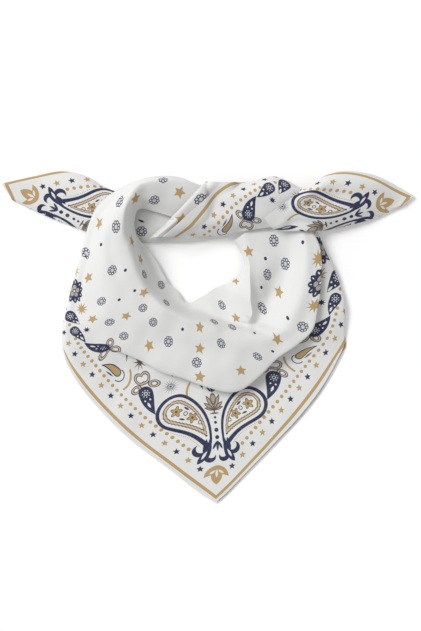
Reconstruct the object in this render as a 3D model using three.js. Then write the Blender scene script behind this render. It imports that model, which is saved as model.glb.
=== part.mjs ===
// A printed square neckerchief, folded on its diagonal, tied into a loop and laid flat on a table.
// Millimetres, +Z up. Everything is drawn round the middle of the neck opening, and the group
// is then moved so that its origin is the middle of its footprint, on the table.

import * as THREE from 'three';

// Cloth
const CLOTH = 1.2;
const CLEARANCE = 0.4;
const FOLD_RADIUS = 2.2;
const TURN_UNDER = 10;

// Front: collar, cowl and pointed drape
const FRONT_REACH = 235;
const COLLAR_HEIGHT = 41;
const PLEAT_DEPTH = 30;
const PLEAT_OPENING = 8;
const LEAF_PEEK = 2.5;
const LEAF_SETBACK = 2;
const HEM_SETBACK = 2;

// Band over the top of the neck opening
const BAND_OFFSET = 29;
const BAND_LENGTH = 112;
const BAND_WIDTH = 55;
const BAND_HEIGHT = 30;
const BAND_LEFT = -33;

// Slanting fold beside the band's hem
const FOLD_LEFT = -61;
const FOLD_LENGTH = 70;
const FOLD_HEIGHT = 27;

// Tails
const TAIL_WIDTH = 67;
const LEFT_TAIL_LENGTH = 119;
const LEFT_TAIL_ROOT = -76;
const LEFT_TAIL_HEIGHT = 13;
const RIGHT_TAIL_LENGTH = 151;
const RIGHT_TAIL_ROOT = 65;
const RIGHT_TAIL_HEIGHT = 32;

// Angles between which the front and the lower leaf run round the neck opening
const FRONT_FROM = 84;
const FRONT_TO = 396;
const LEAF_FROM = 164;
const LEAF_TO = 372;

// Fineness of the faceted cloth
const ANGLE_STEP = 6;
const PILE_PITCH = 1.5;
const PILE_REACH = 3;

const CLOTH_COLOUR = 0xefeeea;
const CLOTH_ROUGHNESS = 0.85;

// Lines that run round the neck opening. Angles in degrees, counter-clockwise from the right.
// reach is a share of FRONT_REACH and rise a share of COLLAR_HEIGHT.
const NECK_EDGE = [
  { angle: 84, reach: 0.180, rise: 0.34 },
  { angle: 101, reach: 0.196, rise: 0.37 },
  { angle: 117, reach: 0.243, rise: 0.40 },
  { angle: 126, reach: 0.290, rise: 0.42 },
  { angle: 134, reach: 0.345, rise: 0.42 },
  { angle: 143, reach: 0.330, rise: 0.36 },
  { angle: 151, reach: 0.295, rise: 0.28 },
  { angle: 159, reach: 0.226, rise: 0.16 },
  { angle: 170, reach: 0.177, rise: 0.07 },
  { angle: 184, reach: 0.153, rise: 0.06 },
  { angle: 207, reach: 0.136, rise: 0.06 },
  { angle: 232, reach: 0.130, rise: 0.06 },
  { angle: 257, reach: 0.153, rise: 0.06 },
  { angle: 270, reach: 0.134, rise: 0.06 },
  { angle: 290, reach: 0.119, rise: 0.06 },
  { angle: 312, reach: 0.115, rise: 0.06 },
  { angle: 335, reach: 0.149, rise: 0.06 },
  { angle: 352, reach: 0.191, rise: 0.08 },
  { angle: 368, reach: 0.200, rise: 0.10 },
  { angle: 384, reach: 0.195, rise: 0.12 },
  { angle: 396, reach: 0.190, rise: 0.14 },
];

// Ridge of the right panel, which starts from the crease
const PANEL_RIDGE = [
  { angle: 84, reach: 0.205, rise: 0.42 },
  { angle: 117, reach: 0.275, rise: 0.53 },
  { angle: 134, reach: 0.362, rise: 0.60 },
  { angle: 151, reach: 0.313, rise: 0.46 },
  { angle: 170, reach: 0.205, rise: 0.20 },
  { angle: 207, reach: 0.150, rise: 0.15 },
  { angle: 232, reach: 0.144, rise: 0.13 },
  { angle: 257, reach: 0.160, rise: 0.10 },
  { angle: 290, reach: 0.168, rise: 0.14 },
  { angle: 305, reach: 0.235, rise: 0.20 },
  { angle: 314, reach: 0.306, rise: 0.33 },
  { angle: 330, reach: 0.260, rise: 0.42 },
  { angle: 347, reach: 0.230, rise: 0.42 },
  { angle: 368, reach: 0.222, rise: 0.38 },
  { angle: 396, reach: 0.210, rise: 0.30 },
];

// Crease at the foot of the collar roll, then the valley of the right panel
const CREASE = [
  { angle: 84, reach: 0.240, rise: 0.48 },
  { angle: 117, reach: 0.315, rise: 0.68 },
  { angle: 134, reach: 0.380, rise: 0.80 },
  { angle: 151, reach: 0.333, rise: 0.72 },
  { angle: 170, reach: 0.245, rise: 0.50 },
  { angle: 207, reach: 0.180, rise: 0.36 },
  { angle: 232, reach: 0.172, rise: 0.28 },
  { angle: 257, reach: 0.176, rise: 0.20 },
  { angle: 275, reach: 0.184, rise: 0.18 },
  { angle: 290, reach: 0.218, rise: 0.20 },
  { angle: 305, reach: 0.278, rise: 0.22 },
  { angle: 317, reach: 0.350, rise: 0.23 },
  { angle: 336, reach: 0.340, rise: 0.20 },
  { angle: 351, reach: 0.362, rise: 0.20 },
  { angle: 368, reach: 0.400, rise: 0.22 },
  { angle: 384, reach: 0.385, rise: 0.24 },
  { angle: 396, reach: 0.310, rise: 0.24 },
];

// Crest of the collar. fullness says how much of its height the cowl keeps half way to the lip.
const CREST = [
  { angle: 84, reach: 0.298, rise: 0.50, fullness: 0.70 },
  { angle: 101, reach: 0.357, rise: 0.70, fullness: 0.80 },
  { angle: 117, reach: 0.400, rise: 0.90, fullness: 0.85 },
  { angle: 126, reach: 0.419, rise: 0.95, fullness: 0.85 },
  { angle: 135, reach: 0.404, rise: 0.98, fullness: 0.85 },
  { angle: 147, reach: 0.371, rise: 1.00, fullness: 0.80 },
  { angle: 164, reach: 0.323, rise: 0.97, fullness: 0.78 },
  { angle: 184, reach: 0.281, rise: 0.91, fullness: 0.76 },
  { angle: 205, reach: 0.253, rise: 0.83, fullness: 0.74 },
  { angle: 230, reach: 0.227, rise: 0.76, fullness: 0.70 },
  { angle: 260, reach: 0.226, rise: 0.70, fullness: 0.70 },
  { angle: 287, reach: 0.262, rise: 0.64, fullness: 0.70 },
  { angle: 306, reach: 0.347, rise: 0.56, fullness: 0.66 },
  { angle: 320, reach: 0.440, rise: 0.50, fullness: 0.62 },
  { angle: 336, reach: 0.455, rise: 0.50, fullness: 0.62 },
  { angle: 351, reach: 0.457, rise: 0.51, fullness: 0.62 },
  { angle: 368, reach: 0.463, rise: 0.49, fullness: 0.62 },
  { angle: 384, reach: 0.455, rise: 0.44, fullness: 0.62 },
  { angle: 396, reach: 0.370, rise: 0.36, fullness: 0.62 },
];

// Lip of the cowl. pleat is the depth of the fold under it, a share of PLEAT_DEPTH.
const LIP = [
  { angle: 84, reach: 0.322, rise: 0.40, pleat: 0 },
  { angle: 101, reach: 0.374, rise: 0.56, pleat: 0 },
  { angle: 117, reach: 0.410, rise: 0.72, pleat: 0 },
  { angle: 134, reach: 0.434, rise: 0.74, pleat: 0 },
  { angle: 157, reach: 0.448, rise: 0.60, pleat: 0 },
  { angle: 184, reach: 0.466, rise: 0.50, pleat: 0 },
  { angle: 200, reach: 0.520, rise: 0.40, pleat: 0 },
  { angle: 208, reach: 0.552, rise: 0.34, pleat: 0 },
  { angle: 216, reach: 0.535, rise: 0.33, pleat: 0.06 },
  { angle: 226, reach: 0.487, rise: 0.35, pleat: 0.35 },
  { angle: 238, reach: 0.459, rise: 0.37, pleat: 0.70 },
  { angle: 252, reach: 0.464, rise: 0.38, pleat: 0.90 },
  { angle: 264, reach: 0.472, rise: 0.39, pleat: 1 },
  { angle: 274, reach: 0.502, rise: 0.39, pleat: 1 },
  { angle: 288, reach: 0.549, rise: 0.39, pleat: 1 },
  { angle: 300, reach: 0.528, rise: 0.40, pleat: 1 },
  { angle: 312, reach: 0.511, rise: 0.42, pleat: 0.95 },
  { angle: 323, reach: 0.534, rise: 0.43, pleat: 0.85 },
  { angle: 331, reach: 0.553, rise: 0.44, pleat: 0.70 },
  { angle: 341, reach: 0.537, rise: 0.44, pleat: 0.55 },
  { angle: 354, reach: 0.526, rise: 0.44, pleat: 0.40 },
  { angle: 376, reach: 0.512, rise: 0.40, pleat: 0.25 },
  { angle: 396, reach: 0.400, rise: 0.28, pleat: 0.10 },
];

// Outer edge of the front: a turned edge at both shoulders, and the hem between them.
// turned is 1 where the cloth turns under and 0 where its hem shows.
const OUTER_EDGE = [
  { angle: 84, reach: 0.340, rise: 0.22, turned: 1 },
  { angle: 92, reach: 0.356, rise: 0.24, turned: 1 },
  { angle: 101, reach: 0.387, rise: 0.26, turned: 1 },
  { angle: 113, reach: 0.417, rise: 0.28, turned: 1 },
  { angle: 125, reach: 0.443, rise: 0.28, turned: 1 },
  { angle: 136, reach: 0.466, rise: 0.26, turned: 1 },
  { angle: 148, reach: 0.491, rise: 0.22, turned: 1 },
  { angle: 158, reach: 0.489, rise: 0.19, turned: 1 },
  { angle: 169, reach: 0.490, rise: 0.16, turned: 1 },
  { angle: 184, reach: 0.516, rise: 0.14, turned: 1 },
  { angle: 196, reach: 0.571, rise: 0.12, turned: 1 },
  { angle: 202, reach: 0.611, rise: 0.12, turned: 0.9 },
  { angle: 208, reach: 0.653, rise: 0.11, turned: 0.4 },
  { angle: 215, reach: 0.682, rise: 0.055, turned: 0 },
  { angle: 225, reach: 0.705, rise: 0.05, turned: 0 },
  { angle: 236, reach: 0.732, rise: 0.05, turned: 0 },
  { angle: 250, reach: 0.789, rise: 0.05, turned: 0 },
  { angle: 262, reach: 0.862, rise: 0.05, turned: 0 },
  { angle: 274.5, reach: 1, rise: 0.05, turned: 0, corner: true },
  { angle: 283, reach: 0.899, rise: 0.05, turned: 0 },
  { angle: 294, reach: 0.813, rise: 0.05, turned: 0 },
  { angle: 304, reach: 0.768, rise: 0.05, turned: 0 },
  { angle: 316, reach: 0.734, rise: 0.055, turned: 0 },
  { angle: 326, reach: 0.714, rise: 0.055, turned: 0 },
  { angle: 334, reach: 0.702, rise: 0.07, turned: 0.1 },
  { angle: 340, reach: 0.671, rise: 0.12, turned: 0.6 },
  { angle: 348, reach: 0.636, rise: 0.14, turned: 1 },
  { angle: 357, reach: 0.592, rise: 0.16, turned: 1 },
  { angle: 367, reach: 0.549, rise: 0.18, turned: 1 },
  { angle: 376, reach: 0.532, rise: 0.20, turned: 1 },
  { angle: 385, reach: 0.513, rise: 0.20, turned: 1 },
  { angle: 396, reach: 0.415, rise: 0.18, turned: 1 },
];

// Runs of cloth laid as ribbons, a row for each section across them. up and down hold the place of
// the upper and lower edge: a share along the run's length, across its width and of its height.
// between holds the rises of the cloth between them, from the upper part to the lower.
const LEFT_TAIL = [
  { up: [-0.95, 0.50, 0.25], between: [0.75, 0.80, 0.75], down: [-0.90, 0.02, 0.25] },
  { up: [-0.62, 0.56, 0.25], between: [0.75, 0.80, 0.72], down: [-0.62, -0.04, 0.25] },
  { up: [-0.30, 0.62, 0.25], between: [0.80, 0.80, 0.70], down: [-0.28, -0.06, 0.25] },
  { up: [0, 0.68, 0.28], between: [0.92, 0.82, 0.72], down: [0, -0.04, 0.25] },
  { up: [0.15, 0.78, 0.30], between: [1, 0.84, 0.72], down: [0.16, 0.02, 0.25] },
  { up: [0.29, 0.93, 0.28], between: [0.92, 0.80, 0.66], down: [0.30, 0.12, 0.22] },
  { up: [0.50, 1, 0.22], between: [0.66, 0.64, 0.52], down: [0.52, 0.27, 0.18] },
  { up: [0.72, 0.93, 0.14], between: [0.36, 0.40, 0.32], down: [0.73, 0.43, 0.12] },
  { up: [1, 0.82, 0.06], between: [0.10, 0.12, 0.10], down: [0.91, 0.58, 0.06] },
];

const BAND_FOLD = [
  { up: [1, 1.02, 0.40], between: [0.86, 0.84, 0.78], down: [1.42, 1, 0.40] },
  { up: [0.82, 0.76, 0.45], between: [1, 0.90, 0.82], down: [1.26, 0.78, 0.45] },
  { up: [0.64, 0.52, 0.45], between: [1, 0.88, 0.80], down: [1.12, 0.58, 0.45] },
  { up: [0.42, 0.25, 0.40], between: [0.92, 0.84, 0.76], down: [0.92, 0.34, 0.45] },
  { up: [0.20, 0, 0.35], between: [0.68, 0.66, 0.60], down: [0.56, 0.08, 0.40] },
];

const TOP_BAND = [
  { up: [0.54, 1, 0.50], between: [0.92, 0.92, 0.86], down: [0, 0.02, 0.50] },
  { up: [0.76, 1.02, 0.40], between: [0.97, 1, 0.92], down: [0.26, 0.04, 0.45] },
  { up: [0.98, 1.12, 0.36], between: [0.97, 1, 0.90], down: [0.50, 0.06, 0.44] },
  { up: [1.12, 1.02, 0.36], between: [0.86, 0.90, 0.82], down: [0.74, 0.15, 0.44] },
  { up: [1.24, 0.86, 0.36], between: [0.72, 0.74, 0.70], down: [1, 0.22, 0.42] },
];

const RIGHT_TAIL = [
  { up: [0.27, 0.73, 0.60], between: [0.94, 0.94, 0.88], down: [0.01, 0.29, 0.60] },
  { up: [0.33, 0.80, 0.55], between: [1, 0.98, 0.84], down: [0.08, 0.13, 0.44] },
  { up: [0.41, 0.92, 0.46], between: [0.98, 0.84, 0.78], down: [0.23, 0.11, 0.34] },
  { up: [0.52, 1, 0.36], between: [0.80, 0.72, 0.66], down: [0.42, 0.13, 0.27] },
  { up: [0.64, 0.99, 0.28], between: [0.66, 0.64, 0.52], down: [0.57, 0.20, 0.22] },
  { up: [0.76, 0.93, 0.18], between: [0.48, 0.46, 0.36], down: [0.71, 0.29, 0.16] },
  { up: [0.88, 0.80, 0.10], between: [0.24, 0.24, 0.18], down: [0.83, 0.39, 0.09] },
  { up: [1, 0.64, 0.05], between: [0.07, 0.08, 0.07], down: [0.92, 0.49, 0.05] },
];

const mix = THREE.MathUtils.lerp;

// A smooth reading of one column of a table at any angle. A corner row keeps its kink.
function readingOf(rows, column) {
  const last = rows.length - 1;
  const step = (i) => (rows[i + 1][column] - rows[i][column]) / (rows[i + 1].angle - rows[i].angle);
  function slope(i, before) {
    if (i === 0) return step(0);
    if (i === last) return step(last - 1);
    if (rows[i].corner) return before ? step(i - 1) : step(i);
    const left = rows[i].angle - rows[i - 1].angle;
    const right = rows[i + 1].angle - rows[i].angle;
    return (step(i - 1) * right + step(i) * left) / (left + right);
  }
  return (angle) => {
    let i = 0;
    while (i < last - 1 && angle > rows[i + 1].angle) i += 1;
    const width = rows[i + 1].angle - rows[i].angle;
    const t = (angle - rows[i].angle) / width;
    const rest = 1 - t;
    const before = rows[i][column] * rest * rest * (1 + 2 * t);
    const after = rows[i + 1][column] * t * t * (1 + 2 * rest);
    return before + after + width * t * rest * (slope(i, false) * rest - slope(i + 1, true) * t);
  };
}

// A line round the neck opening: its reach and rise in millimetres at an angle
function lineOf(rows) {
  const reach = readingOf(rows, 'reach');
  const rise = readingOf(rows, 'rise');
  return (angle) => ({ reach: reach(angle) * FRONT_REACH, rise: rise(angle) * COLLAR_HEIGHT });
}

// What already lies on the table, as heights on a square raster
class Pile {
  constructor() {
    this.size = Math.ceil((4 * FRONT_REACH) / PILE_PITCH);
    this.tops = new Float64Array(this.size * this.size);
  }

  node(value) {
    return value / PILE_PITCH + this.size / 2;
  }

  // Visits every raster node over or under a triangle of the geometry, with the triangle's height there
  scan(geometry, visit) {
    const position = geometry.getAttribute('position');
    const index = geometry.getIndex();
    const corner = (n) => {
      const point = new THREE.Vector3().fromBufferAttribute(position, index.getX(n));
      return point.set(this.node(point.x), this.node(point.y), point.z);
    };
    for (let n = 0; n < index.count; n += 3) {
      const [a, b, c] = [corner(n), corner(n + 1), corner(n + 2)];
      const doubled = (b.x - a.x) * (c.y - a.y) - (c.x - a.x) * (b.y - a.y);
      const box = new THREE.Box3().setFromPoints([a, b, c]);
      for (let x = Math.ceil(box.min.x); x <= box.max.x; x += 1) {
        for (let y = Math.ceil(box.min.y); y <= box.max.y; y += 1) {
          const u = ((x - a.x) * (c.y - a.y) - (c.x - a.x) * (y - a.y)) / doubled;
          const v = ((b.x - a.x) * (y - a.y) - (x - a.x) * (b.y - a.y)) / doubled;
          const height = a.z + u * (b.z - a.z) + v * (c.z - a.z);
          if (u >= 0 && v >= 0 && u + v <= 1) visit(y * this.size + x, height);
        }
      }
    }
  }

  add(geometry) {
    this.scan(geometry, (at, height) => {
      this.tops[at] = Math.max(this.tops[at], height);
    });
  }

  // The least height of a piece above the pile
  gapUnder(geometry) {
    let gap = Infinity;
    this.scan(geometry, (at, height) => {
      if (this.tops[at] > 0) gap = Math.min(gap, height - this.tops[at]);
    });
    return gap;
  }

  // Each node takes what merge makes of its neighbours within reach, first along one axis, then the other
  spread(reach, merge) {
    [1, this.size].forEach((stride) => {
      const from = this.tops.slice();
      for (let at = reach * stride; at < from.length - reach * stride; at += 1) {
        let merged = from[at];
        for (let k = 1; k <= reach; k += 1) {
          merged = merge(merged, from[at - k * stride], from[at + k * stride], k);
        }
        this.tops[at] = merged;
      }
    });
  }

  // A copy whose tops reach further and are softened, so that cloth laid on it clears every edge
  softened() {
    const soft = new Pile();
    soft.tops = this.tops.slice();
    soft.spread(PILE_REACH, (most, before, after) => Math.max(most, before, after));
    const average = (mean, before, after, k) => mean + (before + after - 2 * mean) / (2 * k + 1);
    soft.spread(PILE_REACH - 1, average);
    return soft;
  }

  top(x, y) {
    const column = Math.floor(this.node(x));
    const row = Math.floor(this.node(y));
    const u = this.node(x) - column;
    const v = this.node(y) - row;
    const at = (i, j) => this.tops[(row + j) * this.size + column + i];
    return mix(mix(at(0, 0), at(1, 0), u), mix(at(0, 1), at(1, 1), u), v);
  }
}

// A grid of middle points through sections of control points, with a share of cells for each stretch
function loft(sections, cells) {
  return sections.map((points) => {
    const curve = new THREE.CatmullRomCurve3(points, false, 'centripetal');
    const stretches = points.length - 1;
    const line = [];
    cells.forEach((count, stretch) => {
      for (let k = 0; k < count; k += 1) line.push(curve.getPoint((stretch + k / count) / stretches));
    });
    line.push(points[stretches].clone());
    return line;
  });
}

// Sections between the given ones, so that a run bends smoothly along its length
function fillBetween(sections, count) {
  const strands = sections[0].map((point, k) => {
    const along = sections.map((points) => points[k]);
    return new THREE.CatmullRomCurve3(along, false, 'centripetal');
  });
  const steps = (sections.length - 1) * count;
  return Array.from({ length: steps + 1 }, (none, i) => strands.map((strand) => strand.getPoint(i / steps)));
}

// Lifts a grid clear of what lies under it. layers(i, k) says how many folds of its own lie under a point.
function lay(grid, pile, layers) {
  const below = pile.softened();
  grid.forEach((line, i) => {
    line.forEach((point, k) => {
      const top = below.top(point.x, point.y);
      const air = CLEARANCE * Math.min(1, top / CLOTH);
      point.z = Math.max(point.z, top + air + CLOTH / 2 + layers(i, k) * 2 * FOLD_RADIUS);
    });
  });
  return grid;
}

// The closed wall of cloth round a grid of middle points
function wall(grid) {
  const rows = grid.length;
  const columns = grid[0].length;
  const at = (i, k) => grid[Math.min(Math.max(i, 0), rows - 1)][Math.min(Math.max(k, 0), columns - 1)];
  const positions = [];
  [1, -1].forEach((side) => {
    for (let i = 0; i < rows; i += 1) {
      for (let k = 0; k < columns; k += 1) {
        const along = at(i + 1, k).clone().sub(at(i - 1, k));
        const across = at(i, k + 1).clone().sub(at(i, k - 1));
        const out = along.cross(across).normalize().multiplyScalar((side * CLOTH) / 2);
        positions.push(...at(i, k).clone().add(out).toArray());
      }
    }
  });
  const vertex = (side, i, k) => side * rows * columns + i * columns + k;
  const faces = [];
  const quad = (a, b, c, d) => faces.push(a, b, c, a, c, d);
  for (let i = 0; i < rows - 1; i += 1) {
    for (let k = 0; k < columns - 1; k += 1) {
      quad(vertex(0, i, k), vertex(0, i + 1, k), vertex(0, i + 1, k + 1), vertex(0, i, k + 1));
      quad(vertex(1, i, k), vertex(1, i, k + 1), vertex(1, i + 1, k + 1), vertex(1, i + 1, k));
    }
  }
  const far = rows - 1;
  const right = columns - 1;
  for (let a = 0, b = 1; b < rows; a += 1, b += 1) {
    quad(vertex(0, a, 0), vertex(1, a, 0), vertex(1, b, 0), vertex(0, b, 0));
    quad(vertex(0, b, right), vertex(1, b, right), vertex(1, a, right), vertex(0, a, right));
  }
  for (let a = 0, b = 1; b < columns; a += 1, b += 1) {
    quad(vertex(0, 0, b), vertex(1, 0, b), vertex(1, 0, a), vertex(0, 0, a));
    quad(vertex(0, far, a), vertex(1, far, a), vertex(1, far, b), vertex(0, far, b));
  }
  const geometry = new THREE.BufferGeometry();
  geometry.setAttribute('position', new THREE.Float32BufferAttribute(positions, 3));
  geometry.setIndex(faces);
  return geometry;
}

const neckEdge = lineOf(NECK_EDGE);
const panelRidge = lineOf(PANEL_RIDGE);
const crease = lineOf(CREASE);
const crest = lineOf(CREST);
const fullness = readingOf(CREST, 'fullness');
const lip = lineOf(LIP);
const pleat = readingOf(LIP, 'pleat');
const outerEdge = lineOf(OUTER_EDGE);
const turned = readingOf(OUTER_EDGE, 'turned');
const HEM_CORNER = OUTER_EDGE.find((row) => row.corner).angle;

function polar(angle, reach, rise) {
  const turn = THREE.MathUtils.degToRad(angle);
  return new THREE.Vector3(reach * Math.cos(turn), reach * Math.sin(turn), rise);
}

// Stations round the front, with one exactly on the corner of the hem
function stations(from, to) {
  const spread = (start, end) => {
    const count = Math.ceil((end - start) / ANGLE_STEP);
    return Array.from({ length: count }, (none, i) => mix(start, end, i / count));
  };
  return [...spread(from, HEM_CORNER), ...spread(HEM_CORNER, to), to];
}

// One section of the front, from the neck's edge over the collar to the hem or turned edge. Where the
// pleat is shut the cloth falls in a full shoulder, and where it opens it falls to the drape below.
const CREST_TO_LIP = 0.55;
const SHOULDER = { low: 0.75, share: 0.80, drop: 0.85 };
const DRAPE = { low: 0.12, share: 0.66, drop: 0.60 };

function frontSection(angle) {
  const edge = neckEdge(angle);
  const ridge = panelRidge(angle);
  const foot = crease(angle);
  const top = crest(angle);
  const nose = lip(angle);
  const outer = outerEdge(angle);
  const depth = Math.max(0, pleat(angle)) * PLEAT_DEPTH;
  const under = THREE.MathUtils.clamp(turned(angle), 0, 1);
  const room = Math.min(PLEAT_OPENING, (outer.reach - nose.reach) / 4);
  const opened = Math.min(1, depth / PLEAT_DEPTH);
  const fallen = Math.min(1, depth / PLEAT_OPENING);
  const low = mix(outer.rise, nose.rise, mix(SHOULDER.low, DRAPE.low, opened));
  const drop = mix(SHOULDER.drop, DRAPE.drop, fallen);
  const point = (reach, rise) => polar(angle, reach, rise);
  return [
    point(edge.reach, edge.rise),
    point(ridge.reach, ridge.rise),
    point(foot.reach, foot.rise),
    point(top.reach, top.rise),
    point(mix(top.reach, nose.reach, CREST_TO_LIP), mix(nose.rise, top.rise, fullness(angle))),
    point(nose.reach, nose.rise),
    point(nose.reach + 0.5 * room - 0.5 * depth, mix(nose.rise, low, 0.4)),
    point(nose.reach + room - depth, mix(nose.rise, low, 0.75)),
    point(nose.reach + 1.8 * room - 0.35 * depth, low),
    point(mix(nose.reach, outer.reach, mix(SHOULDER.share, DRAPE.share, fallen)), mix(outer.rise, low, drop)),
    point(outer.reach - HEM_SETBACK * (1 - under), outer.rise),
    point(outer.reach - under * TURN_UNDER, outer.rise - under * 1.6 * FOLD_RADIUS),
  ];
}

const FRONT_CELLS = [1, 2, 3, 3, 3, 2, 2, 3, 2, 2, 2];

// Cells from a turned edge over which cloth rises from one fold of its own to two
const TURN_CELLS = 4;

function frontDrape(pile) {
  const angles = stations(FRONT_FROM, FRONT_TO);
  const grid = loft(angles.map(frontSection), FRONT_CELLS);
  const last = grid[0].length - 1;
  const doubled = (angle) => THREE.MathUtils.clamp(turned(angle), 0, 1);
  const layers = (i, k) => doubled(angles[i]) * Math.min(1, (last - k) / TURN_CELLS);
  return wall(lay(grid, pile, layers));
}

// The lower leaf lies flat from the neck's edge to its hem
const LEAF_SHARES = [0, 0.35, 0.7, 1];

function underLeaf() {
  const inset = TURN_UNDER + 2 * FOLD_RADIUS;
  const sections = stations(LEAF_FROM, LEAF_TO).map((angle) => {
    const outer = outerEdge(angle).reach;
    const under = THREE.MathUtils.clamp(turned(angle), 0, 1);
    const peek = angle > HEM_CORNER ? LEAF_PEEK : -LEAF_PEEK;
    const start = neckEdge(angle).reach + LEAF_SETBACK;
    const hem = mix(outer + peek, outer - inset, under);
    return LEAF_SHARES.map((share) => polar(angle, mix(start, hem, share), CLOTH / 2));
  });
  return wall(sections);
}

const RIBBON_CELLS = [2, 2, 2, 2, 2, 2];
const RIBBON_SHARES = [0.2, 0.5, 0.8];

// A ribbon of cloth whose long edges turn under
function ribbon(rows, size, pile) {
  const place = (along, across, rise) => new THREE.Vector3(
    size.root + size.way * along * size.length,
    BAND_OFFSET + across * size.width,
    rise * size.height,
  );
  const sections = rows.map((row) => {
    const upper = place(...row.up);
    const lower = place(...row.down);
    const inward = lower.clone().sub(upper).setZ(0).normalize();
    inward.multiplyScalar(Math.min(TURN_UNDER, size.width / 8));
    const between = row.between.map((rise, k) => {
      return upper.clone().lerp(lower, RIBBON_SHARES[k]).setZ(rise * size.height);
    });
    return [
      upper.clone().add(inward).setZ(upper.z - FOLD_RADIUS),
      upper,
      ...between,
      lower,
      lower.clone().sub(inward).setZ(lower.z - FOLD_RADIUS),
    ];
  });
  const grid = loft(fillBetween(sections, 2), RIBBON_CELLS);
  const last = grid[0].length - 1;
  const layers = (i, k) => Math.min(1, k / TURN_CELLS, (last - k) / TURN_CELLS);
  return wall(lay(grid, pile, layers));
}

function part(name, geometry) {
  const finish = { color: CLOTH_COLOUR, roughness: CLOTH_ROUGHNESS, metalness: 0 };
  const mesh = new THREE.Mesh(geometry, new THREE.MeshStandardMaterial(finish));
  mesh.name = name;
  return mesh;
}

const neckerchief = new THREE.Group();
const pile = new Pile();

// A run laid on others drops until it rests on them or on the table
function put(name, geometry) {
  geometry.computeBoundingBox();
  const drop = Math.min(pile.gapUnder(geometry) - CLEARANCE, geometry.boundingBox.min.z);
  geometry.translate(0, 0, -drop);
  neckerchief.add(part(name, geometry));
  pile.add(geometry);
}

put('under_leaf', underLeaf());
put('left_tail', ribbon(LEFT_TAIL, {
  root: LEFT_TAIL_ROOT, way: -1, length: LEFT_TAIL_LENGTH, width: TAIL_WIDTH, height: LEFT_TAIL_HEIGHT,
}, pile));
put('front_drape', frontDrape(pile));
put('band_fold', ribbon(BAND_FOLD, {
  root: FOLD_LEFT, way: 1, length: FOLD_LENGTH, width: BAND_WIDTH, height: FOLD_HEIGHT,
}, pile));
put('top_band', ribbon(TOP_BAND, {
  root: BAND_LEFT, way: 1, length: BAND_LENGTH, width: BAND_WIDTH, height: BAND_HEIGHT,
}, pile));
put('right_tail', ribbon(RIGHT_TAIL, {
  root: RIGHT_TAIL_ROOT, way: 1, length: RIGHT_TAIL_LENGTH, width: TAIL_WIDTH, height: RIGHT_TAIL_HEIGHT,
}, pile));

// The origin is the middle of the footprint, on the table
const box = new THREE.Box3().setFromObject(neckerchief);
const middle = box.getCenter(new THREE.Vector3());
neckerchief.children.forEach((mesh) => mesh.position.set(-middle.x, -middle.y, 0));

export default neckerchief;
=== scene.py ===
"""A printed cotton neckerchief, folded on its diagonal, tied in a loop and laid flat on a table.

The cloth is worked out in millimetres round the middle of the neck opening, as the solids are, and
turned into metres in the shared frame where a mesh is made.
"""

import math

import bpy
import numpy as np
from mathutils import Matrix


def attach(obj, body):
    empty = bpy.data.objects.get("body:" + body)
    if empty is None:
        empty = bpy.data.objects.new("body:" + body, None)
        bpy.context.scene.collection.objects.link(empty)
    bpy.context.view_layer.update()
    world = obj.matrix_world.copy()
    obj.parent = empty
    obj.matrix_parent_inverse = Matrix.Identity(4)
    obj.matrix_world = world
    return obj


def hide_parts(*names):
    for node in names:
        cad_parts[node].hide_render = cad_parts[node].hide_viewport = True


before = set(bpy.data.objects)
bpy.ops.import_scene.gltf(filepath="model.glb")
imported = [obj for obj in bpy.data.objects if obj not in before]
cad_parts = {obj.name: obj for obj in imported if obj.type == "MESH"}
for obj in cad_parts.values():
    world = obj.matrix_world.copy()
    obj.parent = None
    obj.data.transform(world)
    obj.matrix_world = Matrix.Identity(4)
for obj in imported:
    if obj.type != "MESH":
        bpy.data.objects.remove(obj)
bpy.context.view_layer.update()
bpy.ops.object.select_all(action="DESELECT")


def table(columns, rows):
    """Rows of values under named columns."""
    return [dict(zip(columns.split(), row)) for row in rows]


# Cloth
WALL = 1.2
CLOTH = 0.8
CLEARANCE = 0.4
FOLD_RADIUS = 2.2
TURN_UNDER = 10

# Front: collar, cowl and pointed drape
FRONT_REACH = 235
COLLAR_HEIGHT = 41
PLEAT_DEPTH = 30
PLEAT_OPENING = 8
LEAF_PEEK = 2.5

# Band over the top of the neck opening, and the slanting fold beside its hem
BAND_OFFSET = 29
BAND_WIDTH = 55
TAIL_WIDTH = 67
RUN_OF = {
    "left_tail": {"root": -76, "way": -1, "length": 119, "width": TAIL_WIDTH, "height": 13},
    "band_fold": {"root": -61, "way": 1, "length": 70, "width": BAND_WIDTH, "height": 27},
    "top_band": {"root": -33, "way": 1, "length": 112, "width": BAND_WIDTH, "height": 30},
    "right_tail": {"root": 65, "way": 1, "length": 151, "width": TAIL_WIDTH, "height": 32},
}

# Fineness of the cloth
ANGLE_STEP = 1.2
PILE_PITCH = 1.0
PILE_REACH = 4
PILE_SAMPLES = 7
LAY_SOFTNESS = 1.0
FRONT_CELLS = [3, 7, 9, 11, 11, 5, 6, 8, 9, 9, 4]
RIBBON_CELLS = [5, 7, 9, 9, 7, 5]
RIBBON_LENGTH_CELLS = 9
RIBBON_SHARES = (0.2, 0.5, 0.8)
LEAF_LINES = 40

# The stretch of angles that the front and the leaf take, and the setbacks of their edges
FRONT_FROM, FRONT_TO = 84, 396
LEAF_FROM, LEAF_TO = 164, 372
CORNER_ANGLE = 274.5
LEAF_SETBACK = 2
HEM_SETBACK = 2

# The camera's view: its size and the middle of the neck opening in it, from the upper left
VIEW_SIZE = (421, 631)
VIEW_MIDDLE = (197, 268)
CAMERA_HEIGHT = 2.103

# How the cowl and the front hang, at a shoulder and over the pleat
CREST_TO_LIP = 0.55
SHOULDER = {"low": 0.75, "share": 0.80, "drop": 0.85}
DRAPE = {"low": 0.12, "share": 0.66, "drop": 0.60}

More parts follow.
